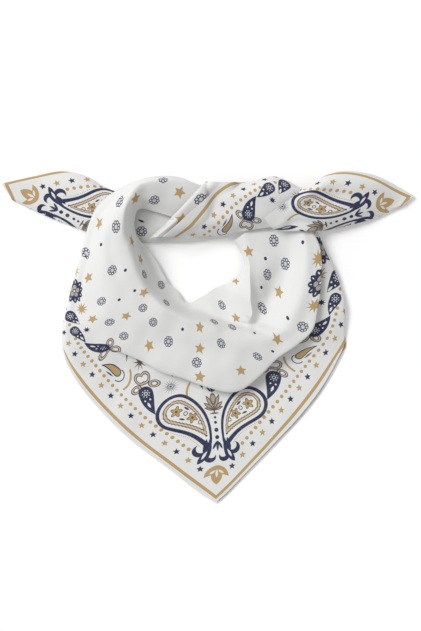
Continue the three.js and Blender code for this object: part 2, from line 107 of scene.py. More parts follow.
# Lines that run round the neck opening. Angles in degrees, counter-clockwise from the right.
# reach is a share of FRONT_REACH and rise a share of COLLAR_HEIGHT.
NECK_EDGE = table("angle reach rise", (
    (84, 0.180, 0.34), (101, 0.196, 0.37), (117, 0.243, 0.40), (126, 0.290, 0.42), (134, 0.345, 0.42),
    (143, 0.330, 0.36), (151, 0.295, 0.28), (159, 0.226, 0.16), (170, 0.177, 0.07), (184, 0.153, 0.06),
    (207, 0.136, 0.06), (232, 0.130, 0.06), (257, 0.153, 0.06), (270, 0.134, 0.06), (290, 0.119, 0.06),
    (312, 0.115, 0.06), (335, 0.149, 0.06), (352, 0.191, 0.08), (368, 0.200, 0.10), (384, 0.195, 0.12),
    (396, 0.190, 0.14),
))

# Ridge of the right panel, which starts from the crease
PANEL_RIDGE = table("angle reach rise", (
    (84, 0.205, 0.42), (117, 0.275, 0.53), (134, 0.362, 0.60), (151, 0.313, 0.46), (170, 0.205, 0.20),
    (207, 0.150, 0.15), (232, 0.144, 0.13), (257, 0.160, 0.10), (290, 0.168, 0.14), (305, 0.235, 0.20),
    (314, 0.306, 0.33), (330, 0.260, 0.42), (347, 0.230, 0.42), (368, 0.222, 0.38), (396, 0.210, 0.30),
))

# Crease at the foot of the collar roll, then the valley of the right panel
CREASE = table("angle reach rise", (
    (84, 0.240, 0.48), (117, 0.315, 0.68), (134, 0.380, 0.80), (151, 0.333, 0.72), (170, 0.245, 0.50),
    (207, 0.180, 0.36), (232, 0.172, 0.28), (257, 0.176, 0.20), (275, 0.184, 0.18), (290, 0.218, 0.20),
    (305, 0.278, 0.22), (317, 0.350, 0.23), (336, 0.340, 0.20), (351, 0.362, 0.20), (368, 0.400, 0.22),
    (384, 0.385, 0.24), (396, 0.310, 0.24),
))

# Crest of the collar. fullness says how much of its height the cowl keeps half way to the lip.
CREST = table("angle reach rise fullness", (
    (84, 0.298, 0.50, 0.70), (101, 0.357, 0.70, 0.80), (117, 0.400, 0.90, 0.85),
    (126, 0.419, 0.95, 0.85), (135, 0.404, 0.98, 0.85), (147, 0.371, 1.00, 0.80),
    (164, 0.323, 0.97, 0.78), (184, 0.281, 0.91, 0.76), (205, 0.253, 0.83, 0.74),
    (230, 0.227, 0.76, 0.70), (260, 0.226, 0.70, 0.70), (287, 0.262, 0.64, 0.70),
    (306, 0.347, 0.56, 0.66), (320, 0.440, 0.50, 0.62), (336, 0.455, 0.50, 0.62),
    (351, 0.457, 0.51, 0.62), (368, 0.463, 0.49, 0.62), (384, 0.455, 0.44, 0.62),
    (396, 0.370, 0.36, 0.62),
))

# Lip of the cowl. pleat is the depth of the fold under it, a share of PLEAT_DEPTH.
LIP = table("angle reach rise pleat", (
    (84, 0.322, 0.40, 0), (101, 0.374, 0.56, 0), (117, 0.410, 0.72, 0), (134, 0.434, 0.74, 0),
    (157, 0.448, 0.60, 0), (184, 0.466, 0.50, 0), (200, 0.520, 0.40, 0), (208, 0.552, 0.34, 0),
    (216, 0.535, 0.33, 0.06), (226, 0.487, 0.35, 0.35), (238, 0.459, 0.37, 0.70),
    (252, 0.464, 0.38, 0.90), (264, 0.472, 0.39, 1), (274, 0.502, 0.39, 1), (288, 0.549, 0.39, 1),
    (300, 0.528, 0.40, 1), (312, 0.511, 0.42, 0.95), (323, 0.534, 0.43, 0.85),
    (331, 0.553, 0.44, 0.70), (341, 0.537, 0.44, 0.55), (354, 0.526, 0.44, 0.40),
    (376, 0.512, 0.40, 0.25), (396, 0.400, 0.28, 0.10),
))

# Outer edge of the front: a turned edge at both shoulders, and the hem between them.
# turned is 1 where the cloth turns under and 0 where its hem shows.
OUTER_EDGE = table("angle reach rise turned corner", (
    (84, 0.340, 0.22, 1), (92, 0.356, 0.24, 1), (101, 0.387, 0.26, 1), (113, 0.417, 0.28, 1),
    (125, 0.443, 0.28, 1), (136, 0.466, 0.26, 1), (148, 0.491, 0.22, 1), (158, 0.489, 0.19, 1),
    (169, 0.490, 0.16, 1), (184, 0.516, 0.14, 1), (196, 0.571, 0.12, 1), (202, 0.611, 0.12, 0.9),
    (208, 0.653, 0.11, 0.4), (215, 0.682, 0.055, 0), (225, 0.705, 0.05, 0), (236, 0.732, 0.05, 0),
    (250, 0.789, 0.05, 0), (262, 0.862, 0.05, 0), (274.5, 1, 0.05, 0, True), (283, 0.899, 0.05, 0),
    (294, 0.813, 0.05, 0), (304, 0.768, 0.05, 0), (316, 0.734, 0.055, 0), (326, 0.714, 0.055, 0),
    (334, 0.702, 0.07, 0.1), (340, 0.671, 0.12, 0.6), (348, 0.636, 0.14, 1), (357, 0.592, 0.16, 1),
    (367, 0.549, 0.18, 1), (376, 0.532, 0.20, 1), (385, 0.513, 0.20, 1), (396, 0.415, 0.18, 1),
))

# Runs of cloth laid as ribbons, a row for each section across them. up and down hold the place of
# the upper and lower edge: a share along the run's length, across its width and of its height.
# between holds the rises of the cloth between them, from the upper part to the lower.
ROWS_OF = {
    "left_tail": table("up between down", (
        ((-0.95, 0.50, 0.25), (0.75, 0.80, 0.75), (-0.90, 0.02, 0.25)),
        ((-0.62, 0.56, 0.25), (0.75, 0.80, 0.72), (-0.62, -0.04, 0.25)),
        ((-0.30, 0.62, 0.25), (0.80, 0.80, 0.70), (-0.28, -0.06, 0.25)),
        ((0, 0.68, 0.28), (0.92, 0.82, 0.72), (0, -0.04, 0.25)),
        ((0.15, 0.78, 0.30), (1, 0.84, 0.72), (0.16, 0.02, 0.25)),
        ((0.29, 0.93, 0.28), (0.92, 0.80, 0.66), (0.30, 0.12, 0.22)),
        ((0.50, 1, 0.22), (0.66, 0.64, 0.52), (0.52, 0.27, 0.18)),
        ((0.72, 0.93, 0.14), (0.36, 0.40, 0.32), (0.73, 0.43, 0.12)),
        ((1, 0.82, 0.06), (0.10, 0.12, 0.10), (0.91, 0.58, 0.06)),
    )),
    "band_fold": table("up between down", (
        ((1, 1.02, 0.40), (0.86, 0.84, 0.78), (1.42, 1, 0.40)),
        ((0.82, 0.76, 0.45), (1, 0.90, 0.82), (1.26, 0.78, 0.45)),
        ((0.64, 0.52, 0.45), (1, 0.88, 0.80), (1.12, 0.58, 0.45)),
        ((0.42, 0.25, 0.40), (0.92, 0.84, 0.76), (0.92, 0.34, 0.45)),
        ((0.20, 0, 0.35), (0.68, 0.66, 0.60), (0.56, 0.08, 0.40)),
    )),
    "top_band": table("up between down", (
        ((0.54, 1, 0.50), (0.92, 0.92, 0.86), (0, 0.02, 0.50)),
        ((0.76, 1.02, 0.40), (0.97, 1, 0.92), (0.26, 0.04, 0.45)),
        ((0.98, 1.12, 0.36), (0.97, 1, 0.90), (0.50, 0.06, 0.44)),
        ((1.12, 1.02, 0.36), (0.86, 0.90, 0.82), (0.74, 0.15, 0.44)),
        ((1.24, 0.86, 0.36), (0.72, 0.74, 0.70), (1, 0.22, 0.42)),
    )),
    "right_tail": table("up between down", (
        ((0.27, 0.73, 0.60), (0.94, 0.94, 0.88), (0.01, 0.29, 0.60)),
        ((0.33, 0.80, 0.55), (1, 0.98, 0.84), (0.08, 0.13, 0.44)),
        ((0.41, 0.92, 0.46), (0.98, 0.84, 0.78), (0.23, 0.11, 0.34)),
        ((0.52, 1, 0.36), (0.80, 0.72, 0.66), (0.42, 0.13, 0.27)),
        ((0.64, 0.99, 0.28), (0.66, 0.64, 0.52), (0.57, 0.20, 0.22)),
        ((0.76, 0.93, 0.18), (0.48, 0.46, 0.36), (0.71, 0.29, 0.16)),
        ((0.88, 0.80, 0.10), (0.24, 0.24, 0.18), (0.83, 0.39, 0.09)),
        ((1, 0.64, 0.05), (0.07, 0.08, 0.07), (0.92, 0.49, 0.05)),
    )),
}

# Soft folds of the front, seen from above: how wide and how high each stands, or how deep where high
# is below 0, and its run of places in millimetres from the upper left of the view.
FOLDS = table("wide high run", (
    (5.5, 5.0, [(140, 190), (131, 208), (130, 228), (132, 250), (139, 272), (149, 293), (166, 309),
                (190, 320), (216, 328)]),
    (4.5, 4.0, [(138, 192), (132, 210), (131, 228), (133, 245), (139, 262)]),
    (5, -2.0, [(146, 205), (142, 225), (143, 247), (150, 268), (162, 288), (182, 302)]),
    (6, -1.4, [(112, 224), (111, 245), (117, 272), (130, 298), (152, 318)]),
    (7, 1.2, [(106, 222), (104, 246), (109, 272)]),
    (9, 1.2, [(112, 340), (140, 352), (172, 366), (200, 378)]),
    (10, -1.4, [(150, 330), (185, 345), (215, 352), (240, 352)]),
    (3.2, 3.4, [(226, 318), (240, 321.5), (250, 325), (258, 327), (266, 329.5), (280, 333)]),
    (2.8, 3.4, [(246, 236), (248, 262), (249, 285), (249.5, 305), (249.5, 332)]),
    (4.5, -4.5, [(255, 284), (257, 300), (257, 315), (254, 326)]),
    (9, -3.0, [(264, 326), (263, 308), (272, 288), (281, 270), (288, 250)]),
    (9, 1.6, [(300, 246), (300, 272), (294, 300), (282, 326)]),
    (7, 1.2, [(205, 328), (230, 340), (258, 352), (275, 358)]),
    (7, -1.4, [(222, 285), (226, 300), (222, 312)]),
))
FOLD_END = 0.04
FOLD_FADE = 0.6
RIPPLES = table("length height", ((62, 0.5), (47, 0.4), (34, 0.25), (26, 0.2), (19, 0.1)))
RIPPLE_BEND = {"length": 41, "turn": 1.3}
RIPPLE_SEED = 7


def mix(a, b, share):
    return a + (b - a) * share


def reading(rows, column):
    """A smooth reading of one column of a table at any angles. A corner row keeps its kink."""
    angles = np.array([row["angle"] for row in rows], float)
    values = np.array([row[column] for row in rows], float)
    widths = np.diff(angles)
    steps = np.diff(values) / widths
    inner = (steps[:-1] * widths[1:] + steps[1:] * widths[:-1]) / (widths[:-1] + widths[1:])
    after = np.concatenate([steps[:1], inner, steps[-1:]])
    before = after.copy()
    for i, row in enumerate(rows):
        if row.get("corner"):
            before[i], after[i] = steps[i - 1], steps[i]

    def at(angle):
        i = np.clip(np.searchsorted(angles, angle) - 1, 0, len(rows) - 2)
        t = (angle - angles[i]) / widths[i]
        rest = 1 - t
        ends = values[i] * rest * rest * (1 + 2 * t) + values[i + 1] * t * t * (1 + 2 * rest)
        return ends + widths[i] * t * rest * (after[i] * rest - before[i + 1] * t)

    return at


def line_of(rows):
    """A line round the neck opening: its reach and rise in millimetres at some angles."""
    reach = reading(rows, "reach")
    rise = reading(rows, "rise")
    return lambda angle: (reach(angle) * FRONT_REACH, rise(angle) * COLLAR_HEIGHT)


def loft(points, cells):
    """Smooth lines through points[section, control, xyz], with some cells for each stretch."""
    first = 2 * points[:, :1] - points[:, 1:2]
    last = 2 * points[:, -1:] - points[:, -2:-1]
    chain = np.concatenate([first, points, last], axis=1)
    gaps = np.sqrt(np.linalg.norm(np.diff(chain, axis=1), axis=2))[..., None]
    line = []
    for k, count in enumerate(cells):
        a, b, c, d = (chain[:, k + n] for n in range(4))
        g0, g1, g2 = (gaps[:, k + n] for n in range(3))
        start = g1 * ((b - a) / g0 - (c - a) / (g0 + g1) + (c - b) / g1)
        end = g1 * ((c - b) / g1 - (d - b) / (g1 + g2) + (d - c) / g2)
        for step in range(count):
            t = step / count
            bend = (2 * b - 2 * c + start + end) * t + (3 * c - 3 * b - 2 * start - end)
            line.append((bend * t + start) * t + b)
    line.append(points[:, -1])
    return np.stack(line, axis=1)


class Pile:
    """What already lies on the table, as heights on a square raster."""

    def __init__(self):
        self.size = int(4 * FRONT_REACH / PILE_PITCH)
        self.tops = np.zeros((self.size, self.size))

    def add(self, grid):
        """Marks the heights of a cloth's upper side, from points spread finely over its cells."""
        steps = np.linspace(0, 1, PILE_SAMPLES)
        for u in steps:
            for v in steps:
                near = mix(grid[:-1, :-1], grid[:-1, 1:], v)
                far = mix(grid[1:, :-1], grid[1:, 1:], v)
                spots = mix(near, far, u).reshape(-1, 3)
                column, row = (np.rint(spots[:, :2] / PILE_PITCH).astype(int) + self.size // 2).T
                np.maximum.at(self.tops, (row, column), spots[:, 2] + WALL / 2)

    def softened(self, reach):
        """A copy whose tops reach further and are softened, so that cloth laid on it clears edges."""
        soft = Pile()
        soft.tops = self.tops.copy()
        for axis in (0, 1):
            near = [np.roll(soft.tops, k, axis) for k in range(-reach, reach + 1)]
            soft.tops = np.max(near, axis=0)
        for axis in (0, 1):
            near = [np.roll(soft.tops, k, axis) for k in range(1 - reach, reach)]
            soft.tops = np.mean(near, axis=0)
        return soft

    def top(self, grid):
        """The height of the pile under each point of a grid."""
        place = grid[..., :2] / PILE_PITCH + self.size // 2
        corner = np.floor(place).astype(int)
        u, v = np.moveaxis(place - corner, -1, 0)
        column, row = np.moveaxis(corner, -1, 0)
        low = mix(self.tops[row, column], self.tops[row, column + 1], u)
        high = mix(self.tops[row + 1, column], self.tops[row + 1, column + 1], u)
        return mix(low, high, v)


def lay(grid, pile, layers):
    """Lifts a grid clear of what lies under it. layers says how many of its own folds lie there."""
    top = pile.softened(PILE_REACH).top(grid)
    air = CLEARANCE * np.minimum(1, top / WALL)
    least = top + air + WALL / 2 + layers * 2 * FOLD_RADIUS
    grid[..., 2] = (grid[..., 2] + least + np.hypot(grid[..., 2] - least, LAY_SOFTNESS)) / 2
    return grid


def rest(grid, pile):
    """Drops a grid until it rests on the pile or on the table, and adds it to the pile."""
    under = pile.softened(1).top(grid)
    clear = grid[..., 2] - WALL / 2 - under
    over = under > 0
    room = clear[over].min() - CLEARANCE if over.any() else np.inf
    grid[..., 2] -= min(room, grid[..., 2].min() - WALL / 2)
    pile.add(grid)
    return grid


def on_table(spot):
    """A place seen from above, in millimetres round the middle of the neck opening."""
    return spot[0] - VIEW_MIDDLE[0], VIEW_MIDDLE[1] - spot[1]


def folded(grid):
    """Presses the soft folds into a grid. Each fades out towards the ends of its run."""
    for fold in FOLDS:
        run = np.array([on_table(spot) for spot in fold["run"]], float)
        steps = np.linalg.norm(np.diff(run, axis=0), axis=1)
        lengths = np.concatenate([[0], np.cumsum(steps)])
        nearest, share = np.full(grid.shape[:2], np.inf), np.zeros(grid.shape[:2])
        for k, (start, end) in enumerate(zip(run[:-1], run[1:])):
            way = (end - start) / steps[k]
            along = np.clip((grid[..., :2] - start) @ way, 0, steps[k])
            away = np.linalg.norm(grid[..., :2] - start - along[..., None] * way, axis=-1)
            share = np.where(away < nearest, (lengths[k] + along) / lengths[-1], share)
            nearest = np.minimum(nearest, away)
        fade = np.sin(np.pi * np.clip(share, FOLD_END, 1 - FOLD_END)) ** FOLD_FADE
        grid[..., 2] += fold["high"] * fade * np.exp(-((nearest / fold["wide"]) ** 2))
    return grid


def rippled(grid):
    """Adds low, uneven ripples, so that no stretch of the cloth is quite smooth."""
    draw = np.random.default_rng(RIPPLE_SEED)
    for ripple in RIPPLES:
        turn, phase = draw.uniform(0, np.pi), draw.uniform(0, 2 * np.pi)
        way = np.array([math.cos(turn), math.sin(turn)]) * 2 * np.pi / ripple["length"]
        bend = np.sin(grid[..., 1] / RIPPLE_BEND["length"] + phase) * RIPPLE_BEND["turn"]
        grid[..., 2] += ripple["height"] * np.sin(grid[..., :2] @ way + phase + bend)
    return grid


def polar(angle, reach, rise):
    turn = np.radians(angle)
    return np.stack([reach * np.cos(turn), reach * np.sin(turn), rise + 0 * turn], axis=-1)


def stations(start, end):
    """Angles round the front, with one exactly on the corner of the hem."""
    before = np.linspace(start, CORNER_ANGLE, math.ceil((CORNER_ANGLE - start) / ANGLE_STEP) + 1)
    after = np.linspace(CORNER_ANGLE, end, math.ceil((end - CORNER_ANGLE) / ANGLE_STEP) + 1)
    return np.concatenate([before[:-1], after])


neck_edge, panel_ridge, crease, crest, lip, outer_edge = (
    line_of(rows) for rows in (NECK_EDGE, PANEL_RIDGE, CREASE, CREST, LIP, OUTER_EDGE)
)
fullness = reading(CREST, "fullness")
pleat = reading(LIP, "pleat")
turned = reading(OUTER_EDGE, "turned")


def front_sections(angle):
    """Control points from the neck's edge over the collar to the hem or turned edge."""
    edge, ridge, foot, top, nose, outer = (
        line(angle) for line in (neck_edge, panel_ridge, crease, crest, lip, outer_edge)
    )
    depth = np.maximum(0, pleat(angle)) * PLEAT_DEPTH
    under = np.clip(turned(angle), 0, 1)
    room = np.minimum(PLEAT_OPENING, (outer[0] - nose[0]) / 4)
    low, share, drop = (
        mix(SHOULDER[key], DRAPE[key], np.minimum(1, depth / full))
        for key, full in (("low", PLEAT_DEPTH), ("share", PLEAT_OPENING), ("drop", PLEAT_DEPTH / 4))
    )
    low = mix(outer[1], nose[1], low)
    points = [
        edge,
        ridge,
        foot,
        top,
        (mix(top[0], nose[0], CREST_TO_LIP), mix(nose[1], top[1], fullness(angle))),
        nose,
        (nose[0] + 0.5 * room - 0.5 * depth, mix(nose[1], low, 0.4)),
        (nose[0] + room - depth, mix(nose[1], low, 0.75)),
        (nose[0] + 1.8 * room - 0.35 * depth, low),
        (mix(nose[0], outer[0], share), mix(low, outer[1], 1 - drop)),
        (outer[0] - HEM_SETBACK * (1 - under), outer[1]),
        (outer[0] - under * TURN_UNDER, outer[1] - under * 1.6 * FOLD_RADIUS),
    ]
    return np.stack([polar(angle, *point) for point in points], axis=1)


def front_drape(pile):
    """The collar, the cowl, the pleat under its lip and the pointed front, in one run of cloth."""
    angle = stations(FRONT_FROM, FRONT_TO)
    grid = loft(front_sections(angle), FRONT_CELLS)
    last = grid.shape[1] - 1
    share = np.minimum(1, (last - np.arange(last + 1)) / (2 * FRONT_CELLS[-1]))
    layers = np.clip(turned(angle), 0, 1)[:, None] * share[None, :]
    return rest(lay(rippled(folded(grid)), pile, layers), pile)


def under_leaf(pile):
    """The lower leaf lies flat from the neck's edge to its hem."""
    angle = stations(LEAF_FROM, LEAF_TO)
    outer = outer_edge(angle)[0]
    peek = np.where(angle > CORNER_ANGLE, LEAF_PEEK, -LEAF_PEEK)
    inset = TURN_UNDER + 2 * FOLD_RADIUS
    hem = mix(outer + peek, outer - inset, np.clip(turned(angle), 0, 1))
    shares = np.linspace(0, 1, LEAF_LINES)
    reach = mix(neck_edge(angle)[0][:, None] + LEAF_SETBACK, hem[:, None], shares[None, :])
    grid = polar(angle[:, None] + 0 * shares[None, :], reach, WALL / 2)
    return rest(grid, pile)


def ribbon(name, pile):
    """A ribbon of cloth whose long edges turn under."""
    run = RUN_OF[name]

    def place(along, across, rise):
        return np.array([
            run["root"] + run["way"] * along * run["length"],
            BAND_OFFSET + across * run["width"],
            rise * run["height"],
        ])

    sections = []
    for row in ROWS_OF[name]:
        upper, lower = place(*row["up"]), place(*row["down"])
        inward = (lower - upper) * (1, 1, 0)
        inward *= min(TURN_UNDER, run["width"] / 8) / np.linalg.norm(inward)
        drop = np.array([0, 0, FOLD_RADIUS])
        between = [mix(upper, lower, share) for share in RIBBON_SHARES]
        for point, rise in zip(between, row["between"]):
            point[2] = rise * run["height"]
        sections.append([upper + inward - drop, upper, *between, lower, lower - inward - drop])
    sections = np.array(sections)
    fine = loft(sections.swapaxes(0, 1), [RIBBON_LENGTH_CELLS] * (len(sections) - 1)).swapaxes(0, 1)
    grid = loft(fine, RIBBON_CELLS)
    last = grid.shape[1] - 1
    k = np.arange(last + 1)
    layers = np.minimum(1, np.minimum(k, last - k) / (2 * RIBBON_CELLS[0]))[None, :]
    return rest(lay(grid, pile, layers), pile)


pile = Pile()
grids = {"under_leaf": under_leaf(pile), "left_tail": ribbon("left_tail", pile)}
grids["front_drape"] = front_drape(pile)
for name in ("band_fold", "top_band", "right_tail"):
    grids[name] = ribbon(name, pile)
everywhere = np.concatenate([grid.reshape(-1, 3) for grid in grids.values()])
middle = (everywhere.min(axis=0) + everywhere.max(axis=0)) / 2 * (1, 1, 0)

# The flat square, in millimetres. A gold line runs GOLD from its middle, and the hem lies just outside.
GOLD = 278
HEM = 5.5
CORNER = GOLD * math.sqrt(2)

# Where parts of the border lie on the folded cloth. In each row are a place on the table, seen from
# above in millimetres from the upper left of the view, and the place on the flat cloth that lies
# there: across and up from the gold corner, or along a side from that corner and inward from its
# gold line, on the left side of the square or on the right.
LANDMARKS = {
    "front_drape": {
        "corner": [
            (216.3, 473.5, 0, 25), (217.0, 444.2, 0, 54), (216.5, 422.8, 0, 76), (212.9, 405.0, 0, 93),
            (174.5, 412.7, -38, 90), (190.5, 417.9, -23.4, 82.7), (251.2, 404.5, 38, 90),
            (237.4, 413.6, 23.4, 82.7),
        ],
        "left": [
            (200.4, 470.0, 33, 12.5), (177.1, 453.2, 61.8, 12.5), (153.2, 436.0, 90.6, 12.5),
            (131.2, 416.8, 119.4, 12.5), (110.1, 396.5, 148.2, 12.5), (91.0, 374.3, 177.1, 12.5),
            (74.9, 353.7, 205.9, 12.5), (66.5, 335.7, 234.7, 12.5), (145.7, 393.5, 125.5, 38.8),
            (153.0, 416.8, 104.8, 26.6), (144.9, 382.7, 132.6, 46.6), (104.4, 349.0, 193, 38),
            (83.3, 343.0, 210, 25), (77.2, 331.5, 231.5, 24.5), (88.3, 331.9, 227, 37),
            (82.0, 310.0, 256, 42), (74.0, 292.0, 278, 36), (86.0, 262.0, 306, 60),
        ],
        "right": [
            (233.1, 466.1, 33, 12.5), (255.1, 443.3, 61.8, 12.5), (275.3, 420.0, 90.6, 12.5),
            (292.7, 397.5, 119.4, 12.5), (309.5, 374.0, 148.2, 12.5), (326.6, 350.7, 177.1, 12.5),
            (338.7, 323.3, 205.9, 12.5), (318.0, 330.9, 191, 36), (330.1, 320.0, 209, 24.5),
            (334.6, 299.0, 231.5, 24.5), (322.5, 301.6, 227, 37), (324.5, 271.0, 256, 38.5),
            (324.5, 250.0, 278, 31), (318.5, 284.4, 278, 37), (312.5, 306.7, 256, 42),
            (317.5, 260.8, 300, 42), (300.0, 340.0, 228, 66),
        ],
    },
    "left_tail": {
        "corner": [
            (6.7, 183.8, 0, 0), (30.3, 196.1, 0, 26), (55.0, 209.7, 0, 55), (69.8, 218.0, 0, 70),
            (87.7, 227.2, 0, 92),
        ],
        "left": [
            (35.0, 177.0, 29, 0), (62.0, 172.0, 56.6, 0), (42.7, 185.7, 33, 12.5),
            (73.4, 180.5, 61.8, 12.5), (87.3, 180.2, 76.2, 12.5), (69.4, 188.5, 55.2, 21),
            (95.7, 186.4, 81.8, 21),
        ],
        "right": [
            (13.0, 200.0, 17.5, 0),
        ],
    },
    "top_band": {
        "left": [
            (177.9, 240.0, 124, 0), (187.6, 232.7, 136, 0), (202.1, 217.0, 156, 0),
            (214.2, 202.4, 175, 0), (226.4, 189.1, 193, 0), (238.5, 183.6, 206.4, 0),
            (195.1, 238.0, 133.8, 12.5), (203.5, 226.8, 148.2, 12.5), (212.6, 214.5, 162.6, 12.5),
            (222.1, 203.9, 177.1, 12.5), (232.6, 195.2, 191.5, 12.5), (243.2, 188.2, 205.9, 12.5),
            (247.0, 214.1, 191, 36), (252.6, 196.6, 209, 24.5), (270.2, 188.9, 231.5, 24.5),
            (257.5, 200.8, 215, 30), (270.9, 202.2, 227, 37), (285.0, 188.0, 249, 27),
        ],
    },
    "right_tail": {
        "corner": [
            (407.9, 196.8, 0, 0), (382.6, 204.0, 0, 26), (357.4, 215.9, 0, 55), (335.3, 222.4, 0, 77),
            (315.3, 227.4, 0, 94), (308.4, 203.6, 36, 92), (320.3, 207.8, 23.4, 83),
            (290.0, 225.0, 16, 118),
        ],
        "right": [
            (384.2, 184.9, 26.5, 0), (366.6, 176.5, 46, 0), (353.6, 173.4, 59.4, 0),
            (338.3, 173.8, 74.7, 0), (374.6, 193.7, 33, 12.5), (346.1, 184.7, 61.8, 12.5),
            (314.9, 185.7, 90.6, 12.5), (347.6, 192.2, 55.2, 21), (321.0, 190.1, 81.8, 21),
        ],
    },
    "band_fold": {
        "corner": [
            (165, 225, 0, 260), (210, 190, 35, 295),
        ],
    },
    "under_leaf": {
        "corner": [
            (215.5, 498.4, 0, 0),
        ],
        "left": [
            (91.0, 374.3, 177.1, 12.5),
        ],
        "right": [
            (326.6, 350.7, 177.1, 12.5),
        ],
    },
}

# How the flat cloth is fitted to the folds
LANDMARK_REACHES = (50, 36, 28, 22)
CHART_STEP = {"front_drape": (4, 3), "under_leaf": (6, 4)}
SEEN_HOLD = 2.0
HEM_HOLD = 40.0
FITTING_ROUNDS = 160
EVENING_ROUNDS = 60
SPRING = 0.1
HIDDEN_HOLD = 0.03
HEM_FROM, HEM_TO = 213, 328
EDGES = ((0, 1), (1, 2), (2, 0))


def on_cloth(kind, first, second):
    """A place on the flat cloth, from the two numbers of a landmark."""
    if kind == "corner":
        return first, second
    way = {"left": -1, "right": 1}[kind]
    return way * (first - second) / math.sqrt(2), (first + second) / math.sqrt(2)


def coarse_lines(count, step):
    return np.unique(np.append(np.arange(0, count, step), count - 1))


def cell_of(place, lines):
    """The coarse line at or before a place, and how far the place is on towards the next."""
    i = np.clip(np.searchsorted(lines, place, side="right") - 1, 0, len(lines) - 2)
    return i, (place - lines[i]) / (lines[i + 1] - lines[i])


def spread_out(values, lines, count):
    """Values at some lines of a grid, drawn out evenly over all its lines, along its first axis."""
    left, share = cell_of(np.arange(count), lines)
    return mix(values[left], values[left + 1], share[:, None, None])


def seen_from_above(grid, spot):
    """The row and column of the uppermost cloth at a place on the table."""
    away = np.hypot(grid[..., 0] - spot[0], grid[..., 1] - spot[1])
    near = away < away.min() + 2.0
    height = np.where(near, grid[..., 2] - away, -np.inf)
    return np.unravel_index(np.argmax(height), height.shape)


def own_shapes(points, corners):
    """Each triangle laid flat, with its first corner at the start and its first edge ahead."""
    first = points[corners[:, 1]] - points[corners[:, 0]]
    second = points[corners[:, 2]] - points[corners[:, 0]]
    side = np.linalg.norm(first, axis=1) + 1e-9
    facing = np.cross(first, second)
    shapes = np.zeros((len(corners), 3, 2))
    shapes[:, 1, 0] = side
    shapes[:, 2, 0] = (first * second).sum(axis=1) / side
    shapes[:, 2, 1] = np.linalg.norm(facing, axis=1) / side * np.sign(facing[:, 2].sum())
    return shapes


def ties_to(held, lines, posts, number):
    """How much each point of the coarse grid counts at each held point of the fine one."""
    ties = np.zeros((len(held), number.size))
    for n, (row, column) in enumerate(held):
        i, u = cell_of(row, lines)
        k, v = cell_of(column, posts)
        for di, row_share in ((0, 1 - u), (1, u)):
            for dk, column_share in ((0, 1 - v), (1, v)):
                ties[n, number[i + di, k + dk]] += row_share * column_share
    return ties


def laid_out(grid, coarse, held, aims):
    """A first flat layout: straight between the edges, and turned as the held points lie."""
    lengths = np.linalg.norm(np.diff(coarse, axis=1), axis=2)
    share = np.concatenate([np.zeros((len(coarse), 1)), np.cumsum(lengths, axis=1)], axis=1)
    share /= share[:, -1:]
    start = mix(coarse[:, :1, :2], coarse[:, -1:, :2], share[..., None]).reshape(-1, 2)
    known = np.array([grid[spot][:2] for spot in held])
    fit = np.linalg.lstsq(np.column_stack([known, np.ones(len(held))]), aims, rcond=None)[0]
    left, _, right = np.linalg.svd(fit[:2])
    turn = left @ right
    return start @ turn + (aims - known @ turn).mean(axis=0)


def unfolded(grid, landmarks, hem, step, firm):
    """The place of each point of a laid run on the flat square, in millimetres.

    Small triangles keep their shape as nearly as they can, while hem points and landmarks hold them.
    hem is a list of (row, column, place), and landmarks one of (place seen, place on the cloth).
    firm is 1 where cloth shows and less where a fold hides it and it may stretch and slide.
    """
    rows, columns = grid.shape[:2]
    corner_rows = [row for row, column, place in hem if abs(place[0]) < 0.01]
    lines = np.unique(np.append(coarse_lines(rows, step[0]), corner_rows).astype(int))
    posts = coarse_lines(columns, step[1])
    coarse = grid[np.ix_(lines, posts)]
    tall, wide = coarse.shape[:2]
    count = tall * wide
    number = np.arange(count).reshape(tall, wide)
    a, b, c, d = number[:-1, :-1], number[1:, :-1], number[1:, 1:], number[:-1, 1:]
    triangles = ((a, b, c), (a, c, d), (a, b, d), (b, c, d))
    corners = np.concatenate([np.stack(three, -1).reshape(-1, 3) for three in triangles])
    shapes = own_shapes(coarse.reshape(-1, 3), corners)
    hold = firm[np.ix_(lines, posts)].ravel()[corners].min(axis=1)

    matrix = np.zeros((count, count))
    for m, n in EDGES:
        for x, y, weight in ((m, m, 1), (n, n, 1), (m, n, -1), (n, m, -1)):
            np.add.at(matrix, (corners[:, x], corners[:, y]), weight * hold)
    held = [seen_from_above(grid, spot) for spot, place in landmarks]
    held += [(row, column) for row, column, place in hem]
    aims = np.array([place for *_, place in [*landmarks, *hem]], float)
    strengths = np.repeat([SEEN_HOLD, HEM_HOLD], [len(landmarks), len(hem)])[:, None]
    ties = ties_to(held, lines, posts, number)
    inverse = np.linalg.inv(matrix + ties.T @ (ties * strengths) + 1e-7 * np.eye(count))
    pull = ties.T @ (aims * strengths)

    place = laid_out(grid, coarse, held, aims)
    for _ in range(FITTING_ROUNDS):
        local = place[corners]
        dot = cross = 0
        for m, n in EDGES:
            old, new = shapes[:, m] - shapes[:, n], local[:, m] - local[:, n]
            dot = dot + (old * new).sum(axis=1)
            cross = cross + old[:, 0] * new[:, 1] - old[:, 1] * new[:, 0]
        size = np.hypot(dot, cross) + 1e-12
        cosine, sine = dot / size, cross / size
        wanted = pull.copy()
        for m, n in EDGES:
            x, y = (shapes[:, m] - shapes[:, n]).T
            new = np.stack([cosine * x - sine * y, sine * x + cosine * y], axis=1) * hold[:, None]
            np.add.at(wanted, corners[:, m], new)
            np.add.at(wanted, corners[:, n], -new)
        place = inverse @ wanted
    fine = spread_out(place.reshape(tall, wide, 2), lines, rows)
    fine = spread_out(fine.swapaxes(0, 1), posts, columns).swapaxes(0, 1)
    fine = evened(fine, grid, held[len(landmarks):], firm)
    return drawn_to(fine, grid, held, aims)


